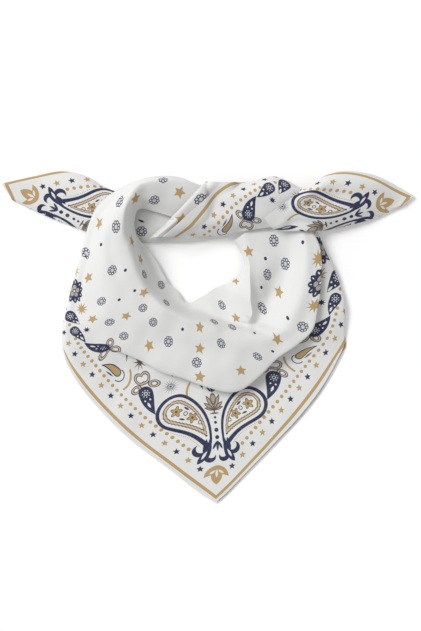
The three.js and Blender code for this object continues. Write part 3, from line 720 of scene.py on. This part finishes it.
def drawn_to(chart, grid, held, aims):
    """Draws a chart to its landmarks with smooth shifts, which fade over a few centimetres."""
    spots = tuple(np.array(held).T)
    columns = np.broadcast_to(np.arange(grid.shape[1]), grid.shape[:2])
    places = np.concatenate([grid[..., :2], columns[..., None]], axis=-1)
    away = np.linalg.norm(places[:, :, None] - places[spots][None, None], axis=-1)
    for reach in LANDMARK_REACHES:
        near = np.exp(-((away / reach) ** 2))
        chart = chart + near @ (aims - chart[spots]) / (near.sum(axis=-1) + 0.2)[..., None]
    return chart


def evened(place, grid, fixed, firm):
    """Evens out the spacing of a fine chart with springs along its rows, columns and diagonals."""
    springs = []
    for i, k in ((1, 0), (0, 1), (1, 1), (1, -1)):
        near = (slice(0, grid.shape[0] - i), slice(max(0, -k), grid.shape[1] - max(0, k)))
        far = (slice(i, None), slice(max(0, k), grid.shape[1] + min(0, k)))
        hold = SPRING * np.minimum(firm[near], firm[far])
        springs.append((near, far, np.linalg.norm(grid[far] - grid[near], axis=2), hold))
    anchors = tuple(np.array(fixed).T) if fixed else None
    kept = place[anchors].copy() if fixed else None
    for _ in range(EVENING_ROUNDS):
        push = np.zeros_like(place)
        for near, far, rest_length, hold in springs:
            gap = place[far] - place[near]
            length = np.linalg.norm(gap, axis=2) + 1e-9
            move = gap * ((length - rest_length) / length * hold)[..., None]
            push[near] += move
            push[far] -= move
        place = place + push
        if fixed:
            place[anchors] = kept
    return place


def hem_points(grid):
    """The stations whose hem shows, with their places on the flat cloth, measured along the hem."""
    angle = stations(FRONT_FROM, FRONT_TO)
    last = grid.shape[1] - 1
    steps = np.linalg.norm(np.diff(grid[:, last], axis=0), axis=1)
    run = np.concatenate([[0], np.cumsum(steps)])
    run -= run[np.argmin(np.abs(angle - CORNER_ANGLE))]
    low = -HEM * math.sqrt(2)
    half = math.sqrt(0.5)
    return [
        (row, last, (run[row] * half, low + abs(run[row]) * half))
        for row in np.nonzero((angle > HEM_FROM) & (angle < HEM_TO))[0]
    ]


def showing(grid):
    """1 where the front's cloth shows, and little in the pleat that the cowl's lip hides."""
    column = np.arange(grid.shape[1])
    lip_column, foot_column = sum(FRONT_CELLS[:5]), sum(FRONT_CELLS[:8])
    hidden = ((column > lip_column + 1) & (column < foot_column - 3)).astype(float)
    open_pleat = np.clip(pleat(stations(FRONT_FROM, FRONT_TO)) * 4, 0, 1)
    return 1 - (1 - HIDDEN_HOLD) * open_pleat[:, None] * hidden[None, :]


charts = {}
for name, grid in grids.items():
    landmarks = [
        (on_table((x, y)), on_cloth(kind, first, second))
        for kind, rows in LANDMARKS[name].items()
        for x, y, first, second in rows
    ]
    hem = hem_points(grid) if name == "front_drape" else []
    firm = showing(grid) if name == "front_drape" else np.ones(grid.shape[:2])
    charts[name] = unfolded(grid, landmarks, hem, CHART_STEP.get(name, (4, 3)), firm)


# The print, and the weave in metres. A mark of the field lies in a frame of its own.
BLEED = 0.25
BIAS = 45
THREAD_PITCH = 0.00045
MILLIMETRES = (0.001, 0.001)
FADED_COTTON = (0.86, 0.86, 0.85, 1)
KIND_STEP = 100
MARK_REACH = 12
NO_MARK = 50
HEM_BULK = 4
WHITE_COTTON = (0.80, 0.80, 0.785, 1)
INK_COLOURS = {
    "lilac": (0.60, 0.61, 0.67, 1),
    "thread": (0.70, 0.70, 0.685, 1),
    "haze": (0.44, 0.38, 0.31, 1),
    "gold": (0.50, 0.345, 0.155, 1),
    "taupe": (0.135, 0.10, 0.075, 1),
    "pale": (0.66, 0.60, 0.53, 1),
    "navy": (0.033, 0.041, 0.092, 1),
}

# Marks of the middle of the cloth: the place seen from above on the table, by kind and run
FIELD_MARKS = {
    "front_drape": {
        "star": [
            (101, 225), (90, 278), (127.5, 316), (145, 293), (200, 327), (150, 345), (200, 348), (200, 376),
            (247.6, 252), (279, 292.6), (276.5, 339.5), (240.7, 370), (137, 201), (180, 194), (133, 242),
            (141, 260), (234, 281), (236, 318), (94, 319),
        ],
        "rosette": [
            (88, 254), (114, 271), (103, 301.6), (111, 322), (125, 335.5), (144, 308), (154, 322), (169, 341),
            (197, 362), (273.5, 241), (285, 264), (267, 275), (262, 308), (302, 327), (155, 202), (164, 180),
            (145, 275), (161, 285.5), (167, 303), (222, 305), (121, 203), (257, 356), (232, 327),
            (118, 228.5), (214, 321.5), (221, 343),
        ],
        "dot": [
            (103, 245.7), (127, 271), (120.6, 300), (183, 329), (265, 259), (302, 243), (261, 287.5),
            (287, 318), (254, 333), (272, 351), (136, 291),
        ],
    },
    "band_fold": {"star": [(182, 220)], "rosette": [(201, 201)], "dot": [(207, 183)]},
    "left_tail": {"star": [], "rosette": [(142, 231.6)], "dot": []},
}
KINDS = {"star": 1, "rosette": 2, "dot": 3}


def faces_down(mesh):
    return sum(face.normal.z * face.area for face in mesh.polygons) < 0


def cloth_piece(name, grid, chart, material):
    """A closed wall of cloth round a grid of middle points, as an object in the shared frame."""
    rows, columns = grid.shape[:2]
    bpy.ops.mesh.primitive_grid_add(x_subdivisions=columns - 1, y_subdivisions=rows - 1)
    piece = bpy.context.object
    piece.name = name + "_cloth"
    mesh = piece.data
    mesh.vertices.foreach_set("co", ((grid - middle) / 1000).ravel())
    corners = np.zeros(len(mesh.loops), dtype=np.int32)
    mesh.loops.foreach_get("vertex_index", corners)
    places = chart.reshape(-1, 2)[corners]
    mesh.uv_layers[0].name = "flat_cloth"
    mesh.uv_layers[0].data.foreach_set("uv", (places / 1000).ravel())
    field = field_layer(places.reshape(-1, 4, 2), marks_on(name, grid, chart))
    mesh.uv_layers.new(name="field").data.foreach_set("uv", (field / 1000).ravel())
    if faces_down(mesh):
        mesh.flip_normals()
    mesh.update()
    mesh.materials.append(material)
    wall = piece.modifiers.new("wall", "SOLIDIFY")
    wall.thickness = CLOTH / 1000
    wall.offset = 0
    bpy.ops.object.modifier_apply(modifier=wall.name)
    bpy.ops.object.shade_smooth_by_angle(angle=math.radians(50))
    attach(piece, "root")
    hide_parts(name)


class Value:
    """A number or place that varies over a surface. Python's operators on it add the nodes."""

    def __init__(self, recipe, socket):
        self.recipe = recipe
        self.socket = socket

    def maths(self, operation, *others, clamp=False):
        settings = {"operation": operation, "use_clamp": clamp}
        return self.recipe.node("ShaderNodeMath", settings, self, *others)

    def __add__(self, other):
        return self.maths("ADD", other)

    def __sub__(self, other):
        return self.maths("SUBTRACT", other)

    def __rsub__(self, other):
        return self.recipe.node("ShaderNodeMath", {"operation": "SUBTRACT"}, other, self)

    def __mul__(self, other):
        return self.maths("MULTIPLY", other)

    def __abs__(self):
        return self.maths("ABSOLUTE")

    __radd__ = __add__
    __rmul__ = __mul__

    def most(self, other):
        return self.maths("MAXIMUM", other)

    def least(self, other):
        return self.maths("MINIMUM", other)

    def wrapped(self, pitch):
        """Repeats the number every pitch, from minus half of it to half of it."""
        return self.maths("WRAP", -pitch / 2, pitch / 2)

    def parts(self):
        across = self.recipe.node("ShaderNodeSeparateXYZ", {}, self)
        return across, Value(self.recipe, across.socket.node.outputs[1])

    def length(self):
        return self.recipe.node("ShaderNodeVectorMath", {"operation": "LENGTH"}, self, out=1)

    def away(self, centre):
        """The distance of a place from a fixed centre."""
        return self.recipe.node("ShaderNodeVectorMath", {"operation": "DISTANCE"}, self, (*centre, 0), out=1)

    def frame(self, centre, turn=0, size=(1, 1)):
        """The place seen from a centre, along an axis turned by some degrees, in units of size."""
        values = self, (*centre, 0), (0, 0, math.radians(turn)), (*size, 1)
        return self.recipe.node("ShaderNodeMapping", {"vector_type": "TEXTURE"}, *values)

    def leaf(self, start, end, width):
        """Below 0 inside a leaf with two pointed ends."""
        start, end = np.array(start, float), np.array(end, float)
        half = np.linalg.norm(end - start) / 2
        radius = (half * half + width * width / 4) / width
        aside = np.array([start[1] - end[1], end[0] - start[0]]) / (2 * half) * (radius - width / 2)
        centre = (start + end) / 2
        return self.away(centre + aside).most(self.away(centre - aside)) - radius


class Recipe:
    """One material, whose nodes are made from a type, its settings and the values of its sockets."""

    def __init__(self, name):
        self.material = bpy.data.materials.new(name)
        self.material.use_nodes = True
        self.tree = self.material.node_tree
        self.shader = self.tree.nodes["Principled BSDF"]

    def feed(self, socket, value):
        if isinstance(value, Value):
            self.tree.links.new(value.socket, socket)
        else:
            socket.default_value = value

    def node(self, kind, settings, *inputs, out=0, sockets=()):
        """Adds a node. inputs are its first sockets in order, and sockets others by name or number."""
        node = self.tree.nodes.new(kind)
        for setting, value in settings.items():
            setattr(node, setting, value)
        for key, value in [*enumerate(inputs), *dict(sockets).items()]:
            self.feed(node.inputs[key], value)
        return Value(self, node.outputs[out])

    def mixed(self, share, first, second):
        """A colour between two."""
        sockets = {0: share, 6: first, 7: second}
        return self.node("ShaderNodeMix", {"data_type": "RGBA"}, out=2, sockets=sockets)


class Inks:
    """The printed shapes, gathered by colour."""

    def __init__(self):
        self.masks = {}

    def put(self, colour, *masks):
        for mask in masks:
            known = self.masks.get(colour)
            self.masks[colour] = mask if known is None else known.most(mask)

    def clear(self, colour, mask):
        """Takes a shape out of a colour, so that what lies under it shows."""
        self.masks[colour] = self.masks[colour].least(1 - mask)

    def leaves(self, colour, place, *leaves):
        self.put(colour, *(inked(place.leaf(*leaf)) for leaf in leaves))


def spot(across, up):
    """The place that two numbers give."""
    return across.recipe.node("ShaderNodeCombineXYZ", {}, across, up)


def inked(distance, reach=0.0, scale=1.0):
    """1 where a distance is less than reach, with a narrow soft edge as ink has on cloth."""
    return distance.maths("MULTIPLY_ADD", -scale / BLEED, reach * scale / BLEED + 0.5, clamp=True)


def stroked(distance, width):
    return inked(abs(distance), width / 2)


def oval(place, centre, turn, size):
    """1 on the rim of an oval and less inside it."""
    return place.frame(centre, turn, size).length()


def sector(angle, size, count):
    """The place within the nearest of some equal sectors round a centre, along its middle line."""
    fold = angle.wrapped(2 * math.pi / count)
    return spot(fold.maths("COSINE") * size, fold.maths("SINE") * size)


def star(across, up, reach):
    """A five-pointed star with one point up."""
    fold = abs(across.maths("ARCTAN2", up).wrapped(math.radians(72)))
    return inked((fold - math.radians(66)).maths("COSINE") * spot(across, up).length(), 0.42 * reach)


def rays(place, centre, count, outer, width, hole=0):
    """A burst of pointed rays, with an open middle round a dot where hole is above 0."""
    across, up = place.frame(centre).parts()
    size = place.away(centre)
    fold = abs(across.maths("ARCTAN2", up).wrapped(2 * math.pi / count)).maths("SINE") * size
    ray = inked(fold + size * (width / outer * 0.8), width)
    if hole:
        return ray.least(1 - inked(size, hole)).most(inked(size, hole * 0.6))
    return ray.most(inked(size, 0.32 * outer))


def teardrop(place, blunt, tip, radius, bend):
    """Below 0 inside a drop with a round end and a bent tip. Also gives the place along its axis."""
    axis = np.array(tip, float) - blunt
    length = np.linalg.norm(axis)
    across, up = place.frame(blunt, math.degrees(math.atan2(axis[1], axis[0])) - 90).parts()
    ahead = up.most(0.0)
    late = (ahead - 0.33 * length).most(0.0)
    across = across + late * late * bend
    share = (ahead * (1 / length)).least(1.0)
    taper = (1 - share * share) * (1 - share * 0.18) * radius
    size = spot(across, up.least(0.0) + (up - length).most(0.0)).length()
    return size - taper, across, up


def border_lines(inks, along, inward):
    """The gold line, the row of stars in turn navy and gold, and the row of gold dots."""
    inks.put("gold", stroked(inward, 3.3))
    first, pitch, row = 33, 14.41, 12.5
    near = (along - first).wrapped(pitch)
    across = (near - inward + row) * math.sqrt(0.5)
    up = (near + inward - row) * math.sqrt(0.5)
    stars = star(across, up, 3.5).least(inked(first - 8 - along))
    navy = inked(abs((along - first).wrapped(2 * pitch)), pitch / 2)
    inks.put("navy", stars.least(navy))
    inks.put("gold", stars.least(1 - navy))
    first, pitch, row = 55.2, 6.65, 21
    dot = spot((along - first).wrapped(pitch), inward - row)
    inks.put("gold", inked(dot.length(), 1.8).least(inked(first - 4.2 - along)))


def drops(inks, edge):
    """Navy drops along the border, with a small pale flower and seeds left open in each."""
    for drop in table("blunt tip radius bend", (
        ((125.5, 38.8), (104.8, 26.6), 7.0, -0.012),
        ((192, 37), (211, 24), 7.4, 0.012),
        ((231.5, 24.5), (212.5, 30), 5.8, 0.014),
        ((251.5, 24.5), (237.5, 33.5), 6.4, 0.0),
    )):
        shape, across, up = teardrop(edge, **drop)
        inks.put("navy", inked(shape))
        local = spot(across, up)
        size = local.away((0, 0.5))
        fold = abs(across.maths("ARCTAN2", up - 0.5).wrapped(math.pi / 4)) * size
        holes = inked(spot(size - 3.4, fold).length(), 0.55).most(stroked(size - 1.5, 0.7))
        for seed in ((2.4, 7.2), (-2.4, 7.6)):
            holes = holes.most(inked(local.away(seed), 0.85))
        inks.clear("navy", holes.most(inked(local.leaf((-0.6, 9.5), (0.2, 15.5), 2.2))))


def bows(inks, edge):
    """A looped bow of taupe cord behind each of two drops."""
    for knot, turn in (((133.0, 44.6), 27), ((187.2, 41.6), 144)):
        along, aside = edge.frame(knot, turn).parts()
        local = spot(along, abs(aside))
        heart = (oval(local, (5.8, 2.5), 32, (6.8, 5.4)) - 1) * 5.2
        loop = (oval(local, (-3.2, 9.2), 112, (6.0, 3.9)) - 1) * 4.2
        rim = heart.least(loop) + 1.2
        inks.put("taupe", stroked(rim, 2.6))
        inks.put("pale", stroked(rim, 0.8))


def crescents(inks, edge, along, inward):
    """A gold crescent in a navy outline, the navy arc round its blunt end and a gold arc."""
    shape, across, up = teardrop(edge, (161, 33), (178, 29.5), 3.5, -0.026)
    inks.put("navy", stroked(shape, 1.0))
    inks.put("gold", inked(shape, -0.4))
    ring = edge.away((157.9, 32.2)) - 5.7
    inks.put("navy", stroked(ring, 1.0).least(inked(up, -2.2)))
    inks.leaves("navy", edge, ((161, 27.4), (170.5, 25.2), 1.5))
    arc = stroked(edge.away((159.3, 29.7)) - 15.4, 2.1)
    inks.put("gold", arc.least(inked(along, 154)).least(inked(26 - inward)))


def bursts(inks, edge, corner):
    """Bursts of rays between the larger shapes, and two small leaves. The taupe burst is a gold burst
    darkened with painted shade from the cowl's lip.
    """
    inks.put("gold", rays(edge, (256, 42), 10, 6.8, 1.9))
    # Painted shade: this burst is gold on the cloth, drawn in dark taupe for the shadow of the cowl's lip.
    inks.put("taupe", rays(edge, (151.6, 56), 10, 6.4, 1.0))
    inks.put("navy", rays(edge, (227, 37), 8, 3.2, 1.3), rays(corner, (38.6, 118.6), 16, 6.2, 0.5, hole=1.9))
    inks.leaves("navy", edge, ((161, 45), (170, 51), 1.5), ((116, 66), (122, 71), 2.2))


def side_flower(inks, edge):
    """The flower half way along each side: round grey petals in a wreath of navy leaves."""
    centre = (GOLD, 37)
    across, up = edge.frame(centre).parts()
    size = edge.away(centre)
    angle = across.maths("ARCTAN2", up)
    leaf = sector(angle, size, 11)
    wreath = inked(leaf.leaf((4.5, 0), (13.8, 0), 6.0))
    inks.put("navy", wreath.least(1 - inked(leaf.leaf((8.4, 0), (11.6, 0), 1.0))))
    rim = sector(angle, size, 5).away((4.4, 0)) - 2.7
    inks.clear("navy", inked(rim, 0.2))
    inks.put("haze", inked(rim, -0.5))
    inks.put("navy", stroked(rim, 0.8), stroked(size - 1.5, 0.7))


def corner_leaf(inks, corner, aside, up):
    """A three-lobed gold leaf in the corner, with a pale trefoil in it."""
    dome = corner.away((-2, 21.6)) - 13.45
    wing = (11.4 - aside) * 0.44 + 22.2 - up
    leaf = inked(dome.most(wing)).most(inked(corner.leaf((0, 14.4), (0, 34), 10.4)))
    for vein in (((1.2, 29.8), (6.6, 25.9), 2.2), ((0, 30.8), (0, 22.0), 2.4)):
        leaf = leaf.least(1 - inked(corner.leaf(*vein)))
    inks.put("gold", leaf)


def fleurs(inks, corner):
    """Curled navy leaves at the foot of the paisleys."""
    for outer, wide, inner, narrow in (
        ((6.4, 43.4), 5.1, (5.2, 46.0), 3.3),
        ((15.8, 50.6), 5.9, (13.9, 53.0), 4.3),
    ):
        curl = inked(corner.away(outer), wide)
        inks.put("navy", curl.least(1 - inked(corner.away(inner), narrow)))
    inks.leaves(
        "navy", corner,
        ((17.2, 37.2), (8.8, 48.5), 5.4), ((8.0, 43), (6.4, 62), 3.6), ((11.6, 45), (9.4, 61), 4.2),
    )
    inks.clear("navy", inked(corner.leaf((9.4, 49.4), (13.6, 42.0), 2.2)))


def axis_marks(inks, corner, across, up):
    """The small trefoil, the dots above it and the lotus, on the line to the corner."""
    inks.leaves("navy", corner, ((0, 48.6), (0, 58.5), 2.3), ((0.4, 58.0), (4.6, 50.4), 2.2))
    for centre, radius in ((61.4, 1.9), (68.2, 2.0), (75.4, 1.45), (80.3, 1.25)):
        inks.put("navy", inked(corner.away((0, centre)), radius))
    petals = (oval(corner, (0, 98.6), 0, (2.7, 5.2)) - 1) * 2.7
    outline = abs(petals)
    for petal in (
        ((0.4, 89.0), (6.4, 102.0), 3.4), ((0.8, 88.2), (9.0, 95.2), 3.0), ((0.6, 87.6), (8.8, 90.4), 2.0),
    ):
        petal = corner.leaf(*petal)
        petals, outline = petals.least(petal), outline.least(abs(petal))
    inks.put("haze", inked(petals))
    inks.put("taupe", inked(outline, 0.42), inked(oval(corner, (0, 84.4), 0, (4.4, 0.8)), 1, 0.9))
    inks.leaves("taupe", corner, ((0, 84), (0, 91), 1.8))
    inks.leaves(
        "navy", corner,
        ((0, 105), (0, 113), 3.0), ((1, 106), (5.0, 111), 2.0), ((9.0, 110.0), (13.5, 135.0), 5.6),
    )
    inks.clear("navy", inked(corner.leaf((11.0, 117.0), (12.4, 128.0), 1.6)))
    arc = stroked(corner.away((8, 106)) - 17.2, 2.1)
    inks.put("gold", arc.least(inked(20 - across)).least(inked(105 - up)))


def paisley(inks, corner):
    """The large paisley: a navy outline, a rope ring, and small flowers and leaves inside."""
    long, wide = 45, 15.5
    local = corner.frame((35.5, 91.8), 120.7)
    across, up = local.parts()
    ahead = up.most(0.0)
    lean = ahead * ahead * 0.00063
    side = (across + ahead * lean * (1 / 3)) * (lean * lean + 1).maths("POWER", -0.5)
    taper = (1 - (ahead * (1 / long)).least(1.0).maths("POWER", 1.85)) * wide
    shape = spot(side, up.least(0.0) + (up - long).most(0.0)).length() - taper
    inks.put("navy", stroked(shape, 3.2).least(inked(up, long - 1)))
    strands = (up * 1.9).maths("SINE") * 0.2
    ring = shape + 6.0 + strands
    short_of_tip = inked(up, long - 9)
    inks.put("gold", stroked(ring, 2.6).least(short_of_tip))
    inks.put("taupe", stroked(abs(ring) - 1.3, 0.7).least(short_of_tip))
    inks.put("pale", stroked(ring, 0.8).least(short_of_tip))
    dashes = inked(abs((up - across * 0.6).wrapped(1.9)), 0.42).least(stroked(shape - 3.4, 0.7))
    inks.put("gold", dashes.least(inked(side, -4)).least(inked(6 - up)).least(inked(up, long - 7)))
    fold = abs(up - 8.2) - 8.2
    size = spot(across, fold).length()
    flower = size - ((across.maths("ARCTAN2", fold) * 5).maths("COSINE") * 1.15 + 3.9)
    inks.put("gold", inked(flower))
    inks.put("taupe", stroked(flower, 0.8), inked(size, 1.2))
    for loop in ((1.2, 8.6), (-1.4, 25.4)):
        inks.put("taupe", stroked(local.away(loop) - 1.7, 0.8))
    inks.put("navy", inked(corner.away((9.5, 64)), 0.9))
    inks.leaves("navy", local, ((6.2, 4.0), (5.2, 10.4), 1.9), ((-5.0, 5.4), (-4.0, 11.0), 1.7))


def field_marks(inks, recipe):
    """Stars, rosettes and dots of the middle of the cloth, each in its own small frame."""
    source = recipe.node("ShaderNodeUVMap", {"uv_map": "field"})
    shifted, up = source.frame((0, 0), size=MILLIMETRES).parts()
    kind = (shifted * (1 / KIND_STEP)).maths("ROUND")
    across = shifted - kind * KIND_STEP
    size = spot(across, up).length()
    gold, rosette, dot = (inked(abs(kind - KINDS[name]), 0.5) for name in ("star", "rosette", "dot"))
    inks.put("gold", star(across, up, 6.2).least(gold))
    petal = sector(across.maths("ARCTAN2", up), size, 8)
    inks.put("navy", stroked(petal.away((3.6, 0)) - 1.35, 0.9).least(rosette))
    inks.put("lilac", inked(size, 2.0).least(rosette))
    inks.put("navy", inked(size, 1.7).least(dot))


def hem_stitches(inks, along, inward):
    """A row of short stitches that holds the rolled hem."""
    inks.put("thread", inked(spot(along.wrapped(2.6) * 0.35, inward + 3.3).length(), 0.3))


def printed_cotton():
    """Plain-woven white cotton with a printed border, from the place on the flat cloth."""
    recipe = Recipe("printed_cotton")
    flat = recipe.node("ShaderNodeUVMap", {"uv_map": "flat_cloth"})
    across, up = flat.frame((0, 0), size=MILLIMETRES).parts()
    first = abs((across + up - CORNER) * math.sqrt(0.5))
    second = abs((across - up + CORNER) * math.sqrt(0.5))
    inward = GOLD - first.most(second)
    along = GOLD - first.least(second)
    edge = spot(along, inward)
    aside = (along - inward) * math.sqrt(0.5)
    inner = (along + inward) * math.sqrt(0.5)
    corner = spot(aside, inner)

    inks = Inks()
    corner_leaf(inks, corner, aside, inner)
    axis_marks(inks, corner, aside, inner)
    paisley(inks, corner)
    fleurs(inks, corner)
    bows(inks, edge)
    crescents(inks, edge, along, inward)
    drops(inks, edge)
    bursts(inks, edge, corner)
    side_flower(inks, edge)
    border_lines(inks, along, inward)
    hem_stitches(inks, along, inward)
    field_marks(inks, recipe)
    colour = WHITE_COTTON
    for name, shade in INK_COLOURS.items():
        colour = recipe.mixed(inks.masks[name], colour, shade)

    threads, crossing = (
        recipe.node("ShaderNodeTexNoise", {"noise_dimensions": "2D"}, sockets={
            "Vector": flat.frame((0, 0), BIAS, size), "Scale": 1.0, "Detail": 2.0,
        })
        for size in ((0.02, 0.0012), (0.0012, 0.02))
    )
    slubs = threads + crossing
    thread = THREAD_PITCH / (2 * math.pi)
    warp, weft = flat.frame((0, 0), BIAS, (thread, thread)).parts()
    weave = warp.maths("SINE") * weft.maths("SINE") + slubs * 0.9
    rolled = inked(inward, -1.9, 0.3) * HEM_BULK
    sockets = {"Strength": 0.25, "Distance": 0.0002, "Height": weave + rolled}
    for name, value in (
        ("Base Color", recipe.mixed((slubs - 0.9) * 0.12, colour, FADED_COTTON)),
        ("Normal", recipe.node("ShaderNodeBump", {}, sockets=sockets)),
        ("Roughness", 0.78),
        ("Sheen Weight", 0.04),
        ("Specular IOR Level", 0.12),
    ):
        recipe.feed(recipe.shader.inputs[name], value)
    return recipe.material


def marks_on(name, grid, chart):
    """The middle of each field mark on the flat cloth, its turn there and its kind."""
    found = []
    for kind, seen in FIELD_MARKS.get(name, {}).items():
        for mark in seen:
            mark = on_table(mark)
            row, column = seen_from_above(grid, mark)
            row = min(max(row, 1), grid.shape[0] - 2)
            column = min(max(column, 1), grid.shape[1] - 2)
            moves = np.array([
                grid[row + 1, column, :2] - grid[row - 1, column, :2],
                grid[row, column + 1, :2] - grid[row, column - 1, :2],
            ])
            charted = np.array([
                chart[row + 1, column] - chart[row - 1, column],
                chart[row, column + 1] - chart[row, column - 1],
            ])
            slope = np.linalg.lstsq(moves, charted, rcond=None)[0]
            step = np.clip(mark - grid[row, column, :2], -3, 3)
            turn = math.atan2(slope[1, 0] - slope[0, 1], slope[0, 0] + slope[1, 1])
            found.append((*(chart[row, column] + step @ slope), -turn, KINDS[kind]))
    return np.array(found, float).reshape(-1, 4)


def field_layer(places, marks):
    """A second map, in which each face lies in the small frame of the nearest field mark."""
    layer = np.full(places.shape, float(NO_MARK))
    if len(marks):
        away = np.linalg.norm(places.mean(axis=1)[:, None] - marks[None, :, :2], axis=2)
        nearest = marks[np.argmin(away, axis=1)]
        near = away.min(axis=1) < MARK_REACH
        offset = places - nearest[:, None, :2]
        cosine, sine = np.cos(nearest[:, 2])[:, None], np.sin(nearest[:, 2])[:, None]
        across = cosine * offset[..., 0] - sine * offset[..., 1]
        up = sine * offset[..., 0] + cosine * offset[..., 1]
        own = np.stack([np.clip(across, -40, 40) + KIND_STEP * nearest[:, 3][:, None], up], axis=-1)
        layer[near] = own[near]
    return layer


cotton = printed_cotton()
for name, grid in grids.items():
    cloth_piece(name, grid, charts[name], cotton)


def studio():
    """A pale table, a soft light from the upper left, and a camera straight above."""
    bpy.ops.mesh.primitive_plane_add(size=60, location=(0, 0, 0))
    table_top = bpy.context.object
    table_top.name = "table"
    recipe = Recipe("pale_table")
    for name, value in (
        ("Base Color", (0.93, 0.93, 0.93, 1)),
        ("Roughness", 0.6),
        ("Emission Color", (1, 1, 1, 1)),
        ("Emission Strength", 0.13),
    ):
        recipe.feed(recipe.shader.inputs[name], value)
    table_top.data.materials.append(recipe.material)

    bpy.ops.object.light_add(type="SUN", location=(-1.0, 0.62, 1.25))
    lamp = bpy.context.object
    lamp.name = "window"
    lamp.data.angle = 0.45
    lamp.data.energy = 1.95
    lamp.rotation_euler = (-lamp.location).to_track_quat("-Z", "Y").to_euler()

    world = bpy.data.worlds.new("studio")
    world.use_nodes = True
    world.node_tree.nodes["Background"].inputs["Color"].default_value = (1, 1, 1, 1)
    world.node_tree.nodes["Background"].inputs["Strength"].default_value = 0.50
    bpy.context.scene.world = world

    centre = (np.array(on_table((VIEW_SIZE[0] / 2, VIEW_SIZE[1] / 2))) - middle[:2]) / 1000
    bpy.ops.object.camera_add(location=(*centre, CAMERA_HEIGHT))
    camera = bpy.context.object
    camera.data.lens = 120
    camera.data.sensor_width = 36
    camera.data.sensor_fit = "AUTO"
    bpy.context.scene.camera = camera
    bpy.context.scene.view_settings.view_transform = "Standard"


studio()
